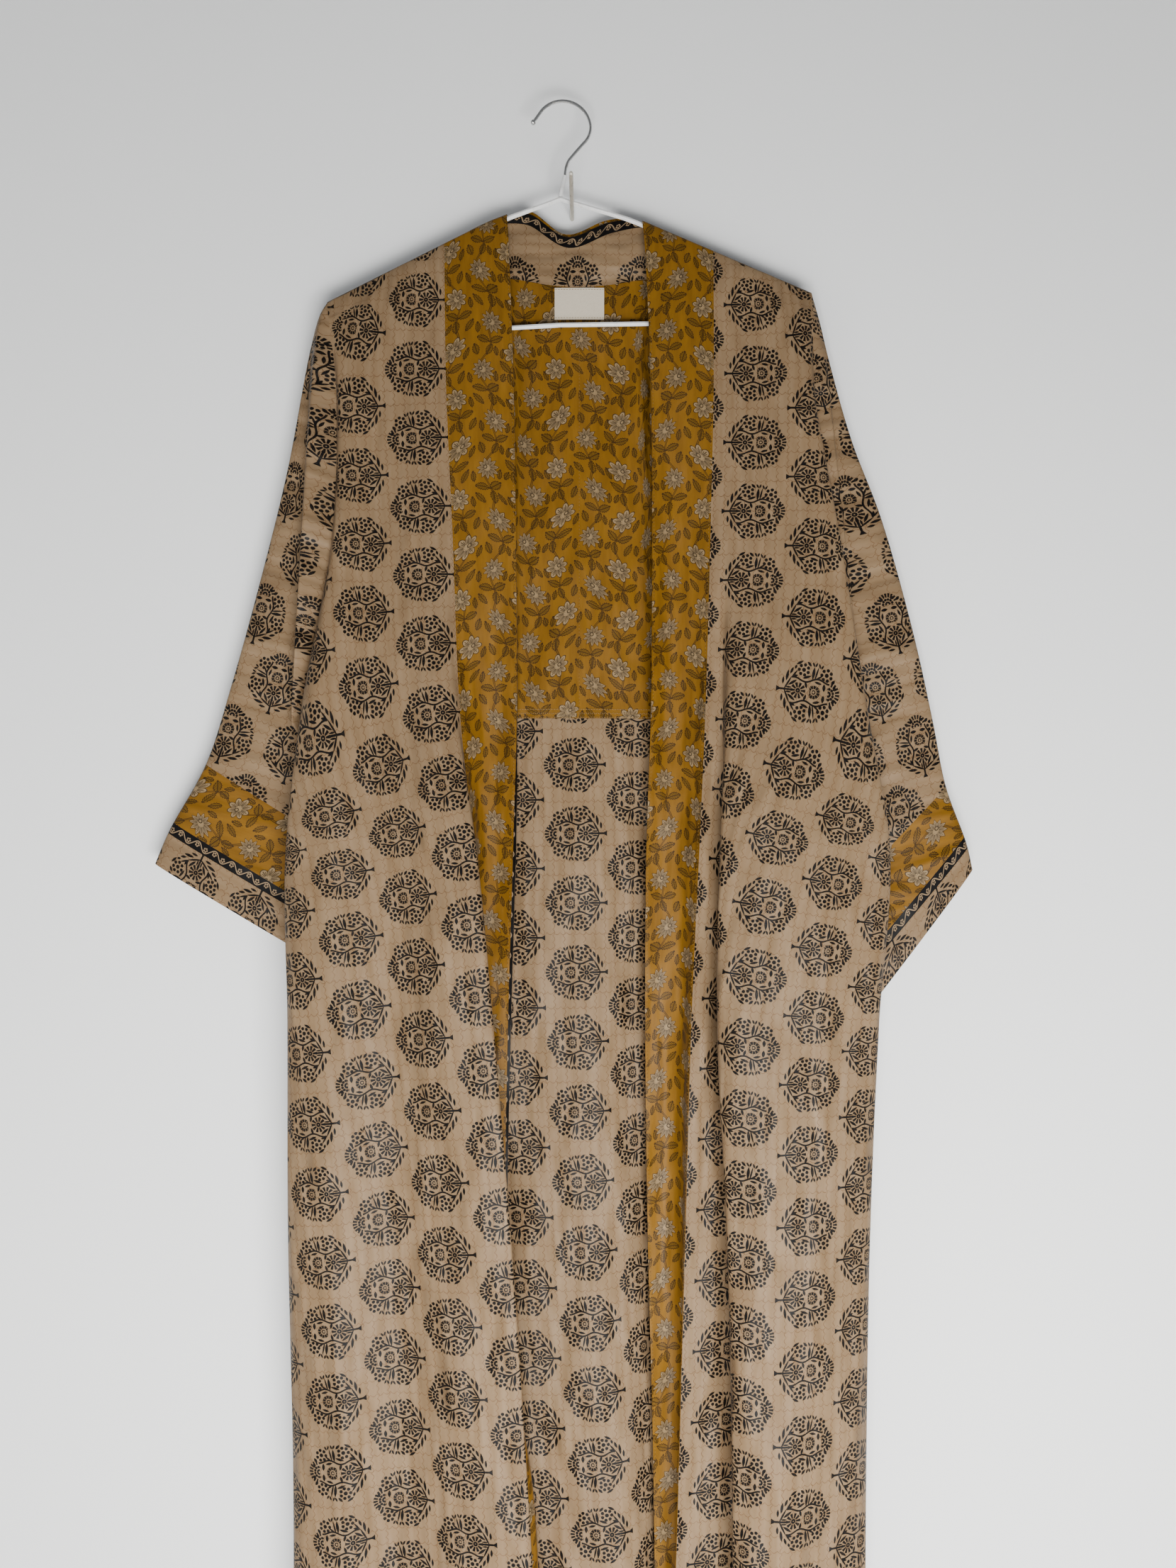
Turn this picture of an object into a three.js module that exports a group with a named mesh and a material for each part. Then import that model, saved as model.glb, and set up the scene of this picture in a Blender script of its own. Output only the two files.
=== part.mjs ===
// Silk kimono-style robe, open at the front, hung on a wire hanger that rests on a small wall peg.
// Millimetres: +X is to the right seen from the front, -Y is towards the viewer, +Z is up.
// The origin is the centre of the peg's flat end, on the wall, which is the plane y = 0.
import * as THREE from "three";

// ---- driving dimensions ----
const WALL = 1.2; // wall of every cloth piece
const LABEL_WALL = 1.0;
const SEAM_GAP = 0.3; // between two pieces at a seam
const SEAM = SEAM_GAP / 2; // what each of the two pieces gives up
const MOST_MITRE = 2.5;
const LAYER = WALL + SEAM_GAP; // from the middle of one cloth to the middle of the next
const ARMHOLE_GAP = 1.1; // between a sleeve's first ring and the panels' coarser edges
const BAND_WIDTH = 54; // neckband, from its seam to its free edge
const BOW_SHARE = 0.36; // of the width that a folded band has to spare, how far its middle moves
const BOW_LINES = [1 / 3, 2 / 3]; // where across the band
const CUFF_WIDTH = 56; // ochre part of a cuff
const CUFF_TO_BORDER_END = 66; // cuff and the dark border of its hem strip
const LABEL = { left: -15, right: 28, top: -66.5, bottom: -94 };
const LINING_HEM = 6; // mm that the back lining reaches below the underarm

const WIRE_RADIUS = 2.0;
const HANGER = { apexX: -10, y: -20, apexZ: 8.5, tilt: THREE.MathUtils.degToRad(2.1) };
const ARM_SLOPE = { inner: 0.333, outer: 0.465, change: 60 }; // drop of an arm for each mm outwards
const CLOTH_OVER_WIRE = 3.5; // radius of the cloth's middle where it wraps a hanger arm
const PEG = { length: 75, radius: 1.8, rise: THREE.MathUtils.degToRad(4) };

// Heights at which every line of cloth is placed below the shoulder; the third is the underarm.
const HEIGHTS = [-155, -285, -435, -555, -700, -875, -1085, -1300];
const UNDERARM = 2;
const WRAP_ANGLES = [0, 45, 90]; // degrees round the hanger arm, from its top
const TURN_ANGLES = [70, 90, 110]; // the same where the neckline leaves the arm
const NECK_STEPS = [0, 3, 6, 20]; // mm below the neckline
const HANG = { drop: 14, front: -26, back: -13, share: 0.2 }; // the first free point below the arm
const FIRST_HEIGHT = WRAP_ANGLES.length + 1; // level number of HEIGHTS[0]
const UNDERARM_LEVEL = FIRST_HEIGHT + UNDERARM;
const LAST_LEVEL = FIRST_HEIGHT + HEIGHTS.length - 1;

// ---- the cloth's lines: x on the shoulder, then x and y at each height, from side seam to opening ----
const LEFT_FRONT = [
  { name: "side_seam", shoulder: -211,
    x: [-203, -206, -230, -232, -230, -230, -225, -226], y: [-25, -27, -34, -36, -36, -34, -32, -32] },
  { name: "side_edge", shoulder: -207,
    x: [-200, -202, -226, -240, -238, -238, -234, -234], y: [-29, -35, -50, -52, -54, -52, -50, -50] },
  { name: "side_crest", shoulder: -196,
    x: [-190, -190, -198, -204, -202, -198, -194, -190], y: [-30, -38, -56, -66, -70, -72, -72, -74] },
  { name: "trough", shoulder: -172,
    x: [-172, -174, -170, -160, -150, -148, -146, -144], y: [-27, -31, -42, -54, -61, -60, -60, -62] },
  { name: "middle", shoulder: -142,
    x: [-139, -136, -124, -108, -98, -88, -78, -68], y: [-29, -36, -51, -70, -79, -82, -82, -82] },
  { name: "front_crest", shoulder: -120,
    x: [-117, -112, -99, -79, -64, -49, -35, -23], y: [-29, -34, -48, -70, -80, -84, -86, -88] },
  { name: "band_seam", shoulder: -110,
    x: [-108, -102, -95, -82, -71, -60, -46, -34], y: [-28, -32, -42, -56, -63, -64, -64, -66] },
  { name: "band_free", shoulder: -56,
    x: [-50, -48, -47, -50, -54, -57, -56, -50], y: [-29, -30, -32, -36, -40, -38, -38, -38] },
];
const RIGHT_FRONT = [
  { name: "side_seam", shoulder: 207,
    x: [209, 224, 241, 256, 249, 243, 241, 241], y: [-25, -28, -33, -36, -35, -33, -32, -32] },
  { name: "side_edge", shoulder: 203,
    x: [206, 228, 249, 267, 258, 251, 248, 247], y: [-31, -38, -50, -55, -54, -52, -50, -50] },
  { name: "side_crest", shoulder: 190,
    x: [192, 200, 212, 220, 214, 210, 208, 208], y: [-32, -42, -57, -68, -72, -72, -72, -74] },
  { name: "middle", shoulder: 170,
    x: [170, 172, 172, 168, 160, 162, 164, 166], y: [-30, -38, -55, -72, -81, -83, -85, -86] },
  { name: "front_crest", shoulder: 146,
    x: [143, 141, 133, 125, 122, 130, 134, 134], y: [-29, -35, -47, -59, -67, -69, -72, -74] },
  { name: "valley", shoulder: 134,
    x: [132, 131, 128, 131, 131, 139, 142, 144], y: [-29, -33, -37, -40, -39, -41, -44, -46] },
  { name: "band_seam", shoulder: 122,
    x: [122, 119, 114, 108, 101, 96, 90, 83], y: [-28, -31, -38, -46, -50, -52, -54, -55] },
  { name: "band_free", shoulder: 61,
    x: [68, 69, 68, 64, 63, 65, 70, 72], y: [-29, -30, -31, -32, -32, -32, -32, -32] },
];
// The back, from left to right, without its side seams, which are the fronts' own.
// Lines with a neck height start at the neckline instead of on the shoulder.
const BACK = [
  { name: "left_edge", shoulder: -190,
    x: [-188, -190, -207, -206, -204, -204, -202, -202], y: [-13, -17, -31, -34, -34, -29, -25, -22] },
  { name: "left_blade", shoulder: -155,
    x: [-155, -155, -160, -160, -160, -160, -158, -158], y: [-11, -12, -21, -31, -33, -25, -18, -16] },
  { name: "left_neck", shoulder: -110,
    x: [-112, -113, -116, -118, -118, -118, -118, -120], y: [-11, -11, -15, -22, -26, -22, -18, -18] },
  { name: "left_turn", shoulder: -106.5, turn: true,
    x: [-100, -99, -100, -101, -101, -101, -102, -104], y: [-11, -11.5, -16, -23, -26, -25, -23, -23] },
  { name: "left_fold", shoulder: -92, neck: -48,
    x: [-88, -85, -84, -84, -84, -84, -86, -88], y: [-11, -12, -17, -22, -24, -26, -27, -28] },
  { name: "left_slope", shoulder: -50, neck: -58.5,
    x: [-46, -45, -44, -42, -40, -38, -34, -30], y: [-11, -13, -19, -25, -29, -32, -35, -37] },
  { name: "crest", shoulder: 3, neck: -65.5,
    x: [10, 14, 17, 19, 20, 28, 42, 52], y: [-11, -14, -20, -28, -34, -38, -42, -44] },
  { name: "valley", shoulder: 54, neck: -60,
    x: [56, 60, 66, 70, 72, 76, 84, 92], y: [-11, -12, -13, -14, -14, -14, -14, -14] },
  { name: "right_fold", shoulder: 100, neck: -46,
    x: [98, 100, 106, 110, 112, 114, 120, 126], y: [-11, -11, -14, -20, -24, -25, -26, -26] },
  { name: "right_turn", shoulder: 118.5, turn: true,
    x: [111, 113, 120, 125, 127, 129, 134, 139], y: [-11, -11, -14, -21, -25, -25, -23, -22] },
  { name: "right_neck", shoulder: 122,
    x: [124, 126, 134, 140, 142, 144, 148, 152], y: [-11, -11, -15, -25, -29, -27, -22, -20] },
  { name: "right_blade", shoulder: 160,
    x: [158, 162, 172, 180, 178, 176, 176, 178], y: [-11, -12, -21, -32, -33, -26, -18, -16] },
  { name: "right_edge", shoulder: 190,
    x: [190, 198, 218, 228, 222, 217, 214, 214], y: [-13, -17, -31, -34, -34, -29, -25, -22] },
];
const ARMHOLE_DEPTH = [10, 12, 0.5, 0, 0, 0, 0, 0]; // mm between front and back side seams, at each height
// Free edge of the neckband behind the neck, one row for each back line from left_neck to right_neck.
const NECK_EDGE = [
  { x: -56, angle: 0 },
  { x: -54.5, angle: 70 },
  { x: -50, y: -14.5, z: -1.5 },
  { x: -36, y: -13.5, z: 0.5 },
  { x: -5, y: -13.5, z: -19.5 },
  { x: 30, y: -13, z: -7 },
  { x: 53, y: -14.5, z: -6 },
  { x: 59.5, angle: 70 },
  { x: 61, angle: 0 },
];
const NECK_ROLL = -2; // mm that the neckband's middle leans away from the wall

// Sleeves: one row for each ring, from its upper end (outer) to its underarm end (inner). front and back are
// the depths of the cloth on either side of the line between them.
const LEFT_SLEEVE = [
  { outer: [-217, -21, -92], inner: [-239, -33, -445], front: 11, back: 11 },
  { outer: [-226, -20, -122], inner: [-232, -28, -458], front: 3, back: 10 },
  { outer: [-246, -19, -226], inner: [-214, -22, -484], front: 5, back: 9 },
  { outer: [-268, -18, -315], inner: [-190, -18, -514], front: 8, back: 8 },
  { outer: [-295, -18, -413], inner: [-158, -17, -557], front: 8, back: 8 },
  { outer: [-317, -18, -481], inner: [-134, -17, -595], front: 8, back: 8 },
  { outer: [-349, -18, -539], inner: [-146, -17, -660], front: 9, back: 9 },
  { outer: [-361, -18, -567], inner: [-158, -17, -687], front: 9, back: 9 },
];
const RIGHT_SLEEVE = [
  { outer: [214, -21, -98], inner: [251, -32, -446], front: 3, back: 10 },
  { outer: [222, -20, -130], inner: [244, -28, -462], front: 3, back: 9 },
  { outer: [242, -19, -200], inner: [238, -24, -486], front: 5, back: 9 },
  { outer: [268, -18, -268], inner: [228, -20, -520], front: 7, back: 8 },
  { outer: [296, -18, -368], inner: [210, -18, -575], front: 8, back: 8 },
  { outer: [313, -18, -445], inner: [192, -18, -625], front: 8, back: 8 },
  { outer: [324, -18, -500], inner: [176, -17, -655], front: 8, back: 8 },
  { outer: [342, -18, -550], inner: [194, -17, -730], front: 9, back: 9 },
  { outer: [347, -18, -572], inner: [206, -17, -757], front: 9, back: 9 },
];
const CUFF_RINGS = 2; // rings after the cuff seam: the border's end and the hem
const SLEEVE_ROUNDNESS = 0.7; // power of the sine: lower is a flatter tube with tighter edges
const UNDERARM_DEPTH = 7; // least depth of the first ring between its ends
const AROUND = 20; // steps round a sleeve

// ---- the line of the shoulders and of the hanger's arms ----
function shoulderZ(x) {
  const from_apex = x - HANGER.apexX;
  const out = Math.abs(from_apex);
  const inner = ARM_SLOPE.inner * Math.min(out, ARM_SLOPE.change);
  const outer = ARM_SLOPE.outer * Math.max(out - ARM_SLOPE.change, 0);
  return HANGER.apexZ - inner - outer + from_apex * Math.tan(HANGER.tilt);
}

// A point of cloth that wraps a hanger arm at x, turned by an angle from the top: + to the back, - to the
// front.
function overWire(x, degrees) {
  const angle = THREE.MathUtils.degToRad(degrees);
  const y = HANGER.y + CLOTH_OVER_WIRE * Math.sin(angle);
  return new THREE.Vector3(x, y, shoulderZ(x) + CLOTH_OVER_WIRE * Math.cos(angle));
}

// ---- surfaces ----
const spline = (points, closed = false) => new THREE.CatmullRomCurve3(points, closed, "centripetal");
const mix = THREE.MathUtils.lerp;

// One point of a cloth line at a level; side is -1 for a front and +1 for the back.
function linePoint(line, level, side) {
  const height = level - FIRST_HEIGHT;
  if (height >= 0) return new THREE.Vector3(line.x[height], line.y[height], HEIGHTS[height]);
  const hangY = side < 0 ? HANG.front : HANG.back;
  if (line.neck !== undefined) {
    const x = mix(line.shoulder, line.x[0], NECK_STEPS[level] / (line.neck - HEIGHTS[0]));
    return new THREE.Vector3(x, hangY, line.neck - NECK_STEPS[level]);
  }
  const angles = line.turn ? TURN_ANGLES : WRAP_ANGLES;
  if (level < angles.length) return overWire(line.shoulder, side * angles[level]);
  const x = mix(line.shoulder, line.x[0], HANG.share);
  return new THREE.Vector3(x, hangY, shoulderZ(line.shoulder) - HANG.drop);
}

// A surface is a list of curves across the cloth, one for each level, joined down the cloth by splines.
function surface(levels) {
  const down = (u) => spline(levels.map((across) => across(u)));
  return { levels, down, at: (u, v) => down(u).getPoint(v / (levels.length - 1)) };
}

function across(points) {
  const curve = spline(points);
  return (u) => curve.getPoint(u / (points.length - 1));
}

function panelSurface(lines, side) {
  const levels = [];
  for (let level = 0; level <= LAST_LEVEL; level++) {
    levels.push(across(lines.map((line) => linePoint(line, level, side))));
  }
  return surface(levels);
}

// The band keeps its width: where its seam and free edge come closer, its middle bows towards the back.
function bandLines(seam, free) {
  return BOW_LINES.map((share) => {
    const line = { shoulder: mix(seam.shoulder, free.shoulder, share), x: [], y: [] };
    HEIGHTS.forEach((height, i) => {
      const chord = new THREE.Vector2(free.x[i] - seam.x[i], free.y[i] - seam.y[i]);
      const spare = Math.max(BAND_WIDTH ** 2 - chord.lengthSq(), 0);
      const bow = BOW_SHARE * Math.sqrt(spare);
      const sideways = new THREE.Vector2(-chord.y, chord.x).normalize();
      if (sideways.y < 0) sideways.negate();
      line.x.push(mix(seam.x[i], free.x[i], share) + sideways.x * bow);
      line.y.push(mix(seam.y[i], free.y[i], share) + sideways.y * bow);
    });
    return line;
  });
}

// A front is two surfaces that share the band's seam: the panel and the band.
function frontSurfaces(table) {
  const [seam, free] = table.slice(-2);
  const panel = panelSurface(table.slice(0, -1), -1);
  const band = panelSurface([seam, ...bandLines(seam, free), free], -1);
  return { panel, band };
}

// The back's side seams: the fronts' own below the underarm, and behind them by the armhole's depth above.
function backSeam(frontSeam) {
  const y = frontSeam.y.map((value, i) => value + ARMHOLE_DEPTH[i]);
  return { ...frontSeam, y };
}

// ---- grids: rows of points, each row across the cloth ----
function steps(from, to, count) {
  return Array.from({ length: count + 1 }, (_, i) => mix(from, to, i / count));
}

function grid(shape, us, vs) {
  const columns = us.map((u) => {
    const curve = shape.down(u);
    const values = typeof vs === "function" ? vs(u) : vs;
    return values.map((v) => curve.getPoint(v / (shape.levels.length - 1)));
  });
  return columns[0].map((_, row) => columns.map((column) => column[row]));
}

function towards(point, target, distance) {
  return point.clone().addScaledVector(target.clone().sub(point).normalize(), distance);
}

// Draws the edges of a grid in from its seams. first and last are one distance, or one for each row.
function trimmed(rows, { top = 0, bottom = 0, first = 0, last = 0 }) {
  let made = rows;
  if (first || last) {
    const cut = (distance, r) => (Array.isArray(distance) ? distance[r] : distance);
    made = made.map((row, r) => [
      towards(row[0], row[1], cut(first, r)),
      ...row.slice(1, -1),
      towards(row.at(-1), row.at(-2), cut(last, r)),
    ]);
  }
  const upper = made[0].map((point, i) => towards(point, made[1][i], top));
  const lower = made.at(-1).map((point, i) => towards(point, made.at(-2)[i], bottom));
  return [upper, ...made.slice(1, -1), lower];
}

// How far two walls that meet at a seam are drawn in, so that their inner corners stay apart: a and b are
// the points beside the seam on each.
function mitre(seam, a, b) {
  const turn = Math.PI - a.clone().sub(seam).angleTo(b.clone().sub(seam));
  return SEAM + Math.min((WALL / 2) * Math.tan(turn / 2), MOST_MITRE);
}

// The direction of a list of points at one of them. The nearer neighbour counts for more, and at an end the
// direction follows the curve, not the last chord.
function direction(points, i, closed) {
  const n = points.length;
  const chord = (from) => points[(from + 1) % n].clone().sub(points[from % n]);
  const inner = closed || (i > 0 && i < n - 1);
  const start = inner ? i + n - 1 : Math.min(i, n - 3) + n;
  const [one, two] = [chord(start % n), chord((start + 1) % n)];
  const [near, far] = [one.length(), two.length()];
  one.divideScalar(near);
  two.divideScalar(far);
  if (inner) return one.multiplyScalar(far).addScaledVector(two, near);
  const bend = one.clone().sub(two).divideScalar(near + far);
  return i === 0 ? one.addScaledVector(bend, near) : two.addScaledVector(bend, -far);
}

function normals(rows, closed) {
  const columns = rows[0].map((_, c) => rows.map((row) => row[c]));
  return rows.map((row, r) => row.map((_, c) =>
    direction(row, c, closed).cross(direction(columns[c], r, false)).normalize()));
}

// The grid moved along its normals, so that one piece lies on another.
function moved(rows, distance) {
  const out = normals(rows, false);
  return rows.map((row, r) => row.map((point, c) => point.clone().addScaledVector(out[r][c], distance)));
}

// A closed wall round a grid: the grid moved half the wall each way, and its rims.
function shell(rows, wall, closed = false) {
  const out = normals(rows, closed);
  const height = rows.length;
  const width = rows[0].length;
  const positions = [];
  for (const side of [1, -1]) {
    rows.forEach((row, r) => row.forEach((point, c) => {
      const p = point.clone().addScaledVector(out[r][c], (side * wall) / 2);
      positions.push(p.x, p.y, p.z);
    }));
  }
  const at = (layer, r, c) => (layer * height + r) * width + (c % width);
  const faces = [];
  const quad = (a, b, c, d) => faces.push(a, b, c, a, c, d);
  const cells = closed ? width : width - 1;
  for (let r = 0; r < height - 1; r++) {
    for (let c = 0; c < cells; c++) {
      quad(at(0, r, c), at(0, r, c + 1), at(0, r + 1, c + 1), at(0, r + 1, c));
      quad(at(1, r, c), at(1, r + 1, c), at(1, r + 1, c + 1), at(1, r, c + 1));
    }
    if (!closed) {
      quad(at(0, r, 0), at(0, r + 1, 0), at(1, r + 1, 0), at(1, r, 0));
      quad(at(0, r, cells), at(1, r, cells), at(1, r + 1, cells), at(0, r + 1, cells));
    }
  }
  const end = height - 1;
  for (let c = 0; c < cells; c++) {
    quad(at(0, 0, c), at(1, 0, c), at(1, 0, c + 1), at(0, 0, c + 1));
    quad(at(0, end, c), at(0, end, c + 1), at(1, end, c + 1), at(1, end, c));
  }
  return solid(positions, faces);
}

// Geometry whose faces point out, whichever way its grid ran.
function solid(positions, faces) {
  let volume = 0;
  const corner = (i) => new THREE.Vector3().fromArray(positions, 3 * faces[i]);
  for (let i = 0; i < faces.length; i += 3) {
    volume += corner(i).dot(corner(i + 1).cross(corner(i + 2)));
  }
  if (volume < 0) {
    for (let i = 0; i < faces.length; i += 3) [faces[i + 1], faces[i + 2]] = [faces[i + 2], faces[i + 1]];
  }
  const geometry = new THREE.BufferGeometry();
  geometry.setAttribute("position", new THREE.Float32BufferAttribute(positions, 3));
  geometry.setIndex(faces);
  geometry.computeVertexNormals();
  return geometry;
}

// A round bar through stations { at, along, radius }; square is at right angles to the plane of its bends.
function bar(stations, square, sides, closed = false) {
  const positions = [];
  const faces = [];
  for (const { at, along, radius } of stations) {
    const up = square.clone().cross(along).normalize();
    for (let k = 0; k < sides; k++) {
      const angle = (2 * Math.PI * k) / sides;
      const p = at.clone().addScaledVector(square, radius * Math.cos(angle));
      p.addScaledVector(up, radius * Math.sin(angle));
      positions.push(p.x, p.y, p.z);
    }
  }
  const count = stations.length;
  const ring = (i, k) => (i % count) * sides + (k % sides);
  for (let i = 0; i < (closed ? count : count - 1); i++) {
    for (let k = 0; k < sides; k++) {
      faces.push(ring(i, k), ring(i + 1, k), ring(i + 1, k + 1));
      faces.push(ring(i, k), ring(i + 1, k + 1), ring(i, k + 1));
    }
  }
  if (!closed) {
    [0, count - 1].forEach((i) => {
      const centre = positions.length / 3;
      positions.push(...stations[i].at.toArray());
      for (let k = 0; k < sides; k++) {
        if (i === 0) faces.push(centre, ring(i, k), ring(i, k + 1));
        else faces.push(centre, ring(i, k + 1), ring(i, k));
      }
    });
  }
  return solid(positions, faces);
}

// Stations along a curve, evenly spaced in its own parameter, so that short spans get more of them.
function stationsAlong(curve, count, radius, closed = false) {
  const last = closed ? count : count - 1;
  return Array.from({ length: count }, (_, i) => {
    const t = i / last;
    return { at: curve.getPoint(t), along: curve.getTangent(t), radius };
  });
}

// ---- materials ----
function cloth(name, color) {
  const material = new THREE.MeshStandardMaterial({ color, roughness: 0.55, metalness: 0 });
  material.name = name;
  material.side = THREE.DoubleSide;
  return material;
}
const printedSilk = () => cloth("printed_silk", 0xc9b08f);
const ochreSilk = () => cloth("ochre_silk", 0xa9781f);
const labelCloth = () => cloth("label_cloth", 0xf0e8d8);

function metal(name, color, roughness, metalness) {
  const material = new THREE.MeshStandardMaterial({ color, roughness, metalness });
  material.name = name;
  return material;
}

const robe = new THREE.Group();
robe.name = "kimono_on_hanger";

function add(name, geometry, material) {
  const mesh = new THREE.Mesh(geometry, material);
  mesh.name = name;
  robe.add(mesh);
}

// ---- samples down and across the cloth ----
const WRAP_SAMPLES = steps(0, FIRST_HEIGHT - 2, 3);
const HEIGHT_SAMPLES = steps(FIRST_HEIGHT - 1, LAST_LEVEL, 2 * HEIGHTS.length);
const FULL_LENGTH = [...WRAP_SAMPLES, ...HEIGHT_SAMPLES];
const BELOW_WIRE = HEIGHT_SAMPLES;

// ---- fronts, neckbands down the fronts, and the left facing ----
const PANEL_STEPS = 3; // across a front, between two lines
const BAND_STEPS = 2;
const FACING_REVEAL = 4; // mm that the facing's border shows past the band's free edge

const BAND_SPANS = 3; // between its seam, the two lines of its bow and its free edge
const BAND_COLUMNS = steps(0, BAND_SPANS, BAND_SPANS * BAND_STEPS);

function frontColumns(table) {
  const seam = table.length - 2;
  return steps(0, seam, PANEL_STEPS * seam);
}

function makeFront(side, table, sideCuts) {
  const { panel, band } = frontSurfaces(table);
  const panelRows = grid(panel, frontColumns(table), FULL_LENGTH);
  const bandRows = grid(band, BAND_COLUMNS, FULL_LENGTH);
  const cuts = panelRows.map((row, r) => mitre(row.at(-1), row.at(-2), bandRows[r][1]));
  const sewn = trimmed(panelRows, { top: SEAM, first: sideCuts, last: cuts });
  add("front_" + side, shell(sewn, WALL), printedSilk());
  add("neckband_" + side, shell(trimmed(bandRows, { top: SEAM, first: cuts }), WALL), ochreSilk());
}

// The facing lies inside the left band. Below the lining its bordered edge rolls out past the band.
function makeLeftFacing() {
  const rows = grid(frontSurfaces(LEFT_FRONT).band, BAND_COLUMNS, BELOW_WIRE);
  const facing = trimmed(moved(rows, LAYER + 2 * SEAM_GAP), { top: SEAM, first: MOST_MITRE });
  facing.forEach((row) => {
    const shown = THREE.MathUtils.smoothstep(-row.at(-1).z, -HEIGHTS[UNDERARM], -HEIGHTS[UNDERARM + 1]);
    row[row.length - 1] = towards(row.at(-1), row.at(-2), -FACING_REVEAL * shown);
  });
  add("facing_left", shell(facing, WALL), printedSilk());
}

// ---- the back and its lining ----
const YOKE_SHARE = 0.92; // where a line beside each neck line keeps the shoulder straight up to it

function between(a, b, share) {
  const at = (key) => a[key].map((value, i) => mix(value, b[key][i], share));
  return { shoulder: mix(a.shoulder, b.shoulder, share), x: at("x"), y: at("y") };
}

function backLines() {
  const line = (name) => BACK.find((candidate) => candidate.name === name);
  const left = BACK.indexOf(line("left_neck"));
  const right = BACK.indexOf(line("right_neck"));
  return [
    backSeam(LEFT_FRONT[0]), ...BACK.slice(0, left),
    between(line("left_blade"), line("left_neck"), YOKE_SHARE), ...BACK.slice(left, right + 1),
    between(line("right_blade"), line("right_neck"), YOKE_SHARE), ...BACK.slice(right + 1),
    backSeam(RIGHT_FRONT[0]),
  ];
}
const BACK_LINES = backLines();
const LEFT_NECK = BACK_LINES.findIndex((line) => line.name === "left_neck");
const RIGHT_NECK = BACK_LINES.findIndex((line) => line.name === "right_neck");
const backShape = panelSurface(BACK_LINES, 1);
// Two steps between lines, but one between each yoke line and the neck line close beside it.
const BACK_COLUMNS = steps(0, BACK_LINES.length - 1, 2 * (BACK_LINES.length - 1))
  .filter((u) => u !== LEFT_NECK - 0.5 && u !== RIGHT_NECK + 0.5);

// The side seams: mitred below the underarm, and plain cloth edges along the armhole above.
function sideCuts(table, backRows, backSide) {
  const rows = grid(frontSurfaces(table).panel, frontColumns(table).slice(0, 2), FULL_LENGTH);
  return rows.map(([seam, next], r) => {
    const beside = backRows[r].at(backSide === "first" ? 1 : -2);
    return FULL_LENGTH[r] < UNDERARM_LEVEL ? SEAM : mitre(seam, next, beside);
  });
}

function makePanels() {
  const rows = grid(backShape, BACK_COLUMNS, FULL_LENGTH);
  const first = sideCuts(LEFT_FRONT, rows, "first");
  const last = sideCuts(RIGHT_FRONT, rows, "last");
  add("back", shell(trimmed(rows, { top: SEAM, first, last }), WALL), printedSilk());
  makeFront("left", LEFT_FRONT, first);
  makeFront("right", RIGHT_FRONT, last);
  makeLeftFacing();
}

// Top of the lining, as a level of the back: below the hanger's arms, and at the neckline between them.
const LINING_TOP = { arms: 2.85, neck: 0 };

function liningTop(u) {
  const past_fold = Math.min(u - LEFT_NECK, RIGHT_NECK - u) - 2;
  return mix(LINING_TOP.arms, LINING_TOP.neck, THREE.MathUtils.clamp(past_fold, 0, 1));
}

function makeLining() {
  const first = FIRST_HEIGHT - 1;
  const bottom = UNDERARM_LEVEL + LINING_HEM / (HEIGHTS[UNDERARM] - HEIGHTS[UNDERARM + 1]);
  const lower = [...steps(first, UNDERARM_LEVEL, 2 * (UNDERARM_LEVEL - first)).slice(1), bottom];
  const levels = (u) => [...steps(liningTop(u), first, 3), ...lower];
  const rows = grid(backShape, BACK_COLUMNS.slice(1, -1), levels);
  add("back_lining", shell(trimmed(moved(rows, -LAYER - SEAM), { top: SEAM }), WALL), ochreSilk());
}

makePanels();
makeLining();

// ---- the neckband behind the neck, standing up from the neckline, and its facing ----
const NECK_ROWS = 4;
const FACING_SETBACK = 3; // mm that the band's edge stands above its facing
const FACING_ENDS = 4; // columns of the band, at each end, that the facing doesn't reach

function neckSurface() {
  const neckline = backShape.levels[0];
  const free = NECK_EDGE.map((p) => (p.angle === undefined
    ? new THREE.Vector3(p.x, p.y, p.z) : overWire(p.x, p.angle)));
  const rows = [];
  for (let row = 1; row <= NECK_ROWS; row++) {
    const share = row / NECK_ROWS;
    const roll = NECK_ROLL * Math.sin(Math.PI * share);
    rows.push(across(NECK_EDGE.map((edge, i) => {
      const line = BACK_LINES[LEFT_NECK + i];
      if (edge.angle !== undefined) return overWire(mix(line.shoulder, edge.x, share), edge.angle);
      const point = neckline(LEFT_NECK + i).lerp(free[i], share);
      point.y += roll;
      return point;
    })));
  }
  return surface([(u) => neckline(LEFT_NECK + u), ...rows]);
}

function makeNeckband() {
  const shape = neckSurface();
  const last = NECK_EDGE.length - 1;
  const rows = grid(shape, steps(0, last, 2 * last), steps(0, NECK_ROWS, NECK_ROWS));
  const ends = SEAM + SEAM_GAP; // the cloth is already turning down behind the arm
  add("neckband_back", shell(trimmed(rows, { top: SEAM_GAP, first: ends, last: ends }), WALL), ochreSilk());
  const inside = moved(rows, LAYER + SEAM_GAP).map((row) => row.slice(FACING_ENDS, -FACING_ENDS));
  const cut = { top: SEAM_GAP, bottom: FACING_SETBACK, first: MOST_MITRE, last: MOST_MITRE };
  const facing = trimmed(inside, cut);
  add("facing_back", shell(facing, WALL), printedSilk());
}

makeNeckband();

// ---- the label, on the lining under the neck seam ----
const HALVINGS = 24;
const ROUNDS = 6;
const LABEL_STEPS = { across: 4, down: 3 };

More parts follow.
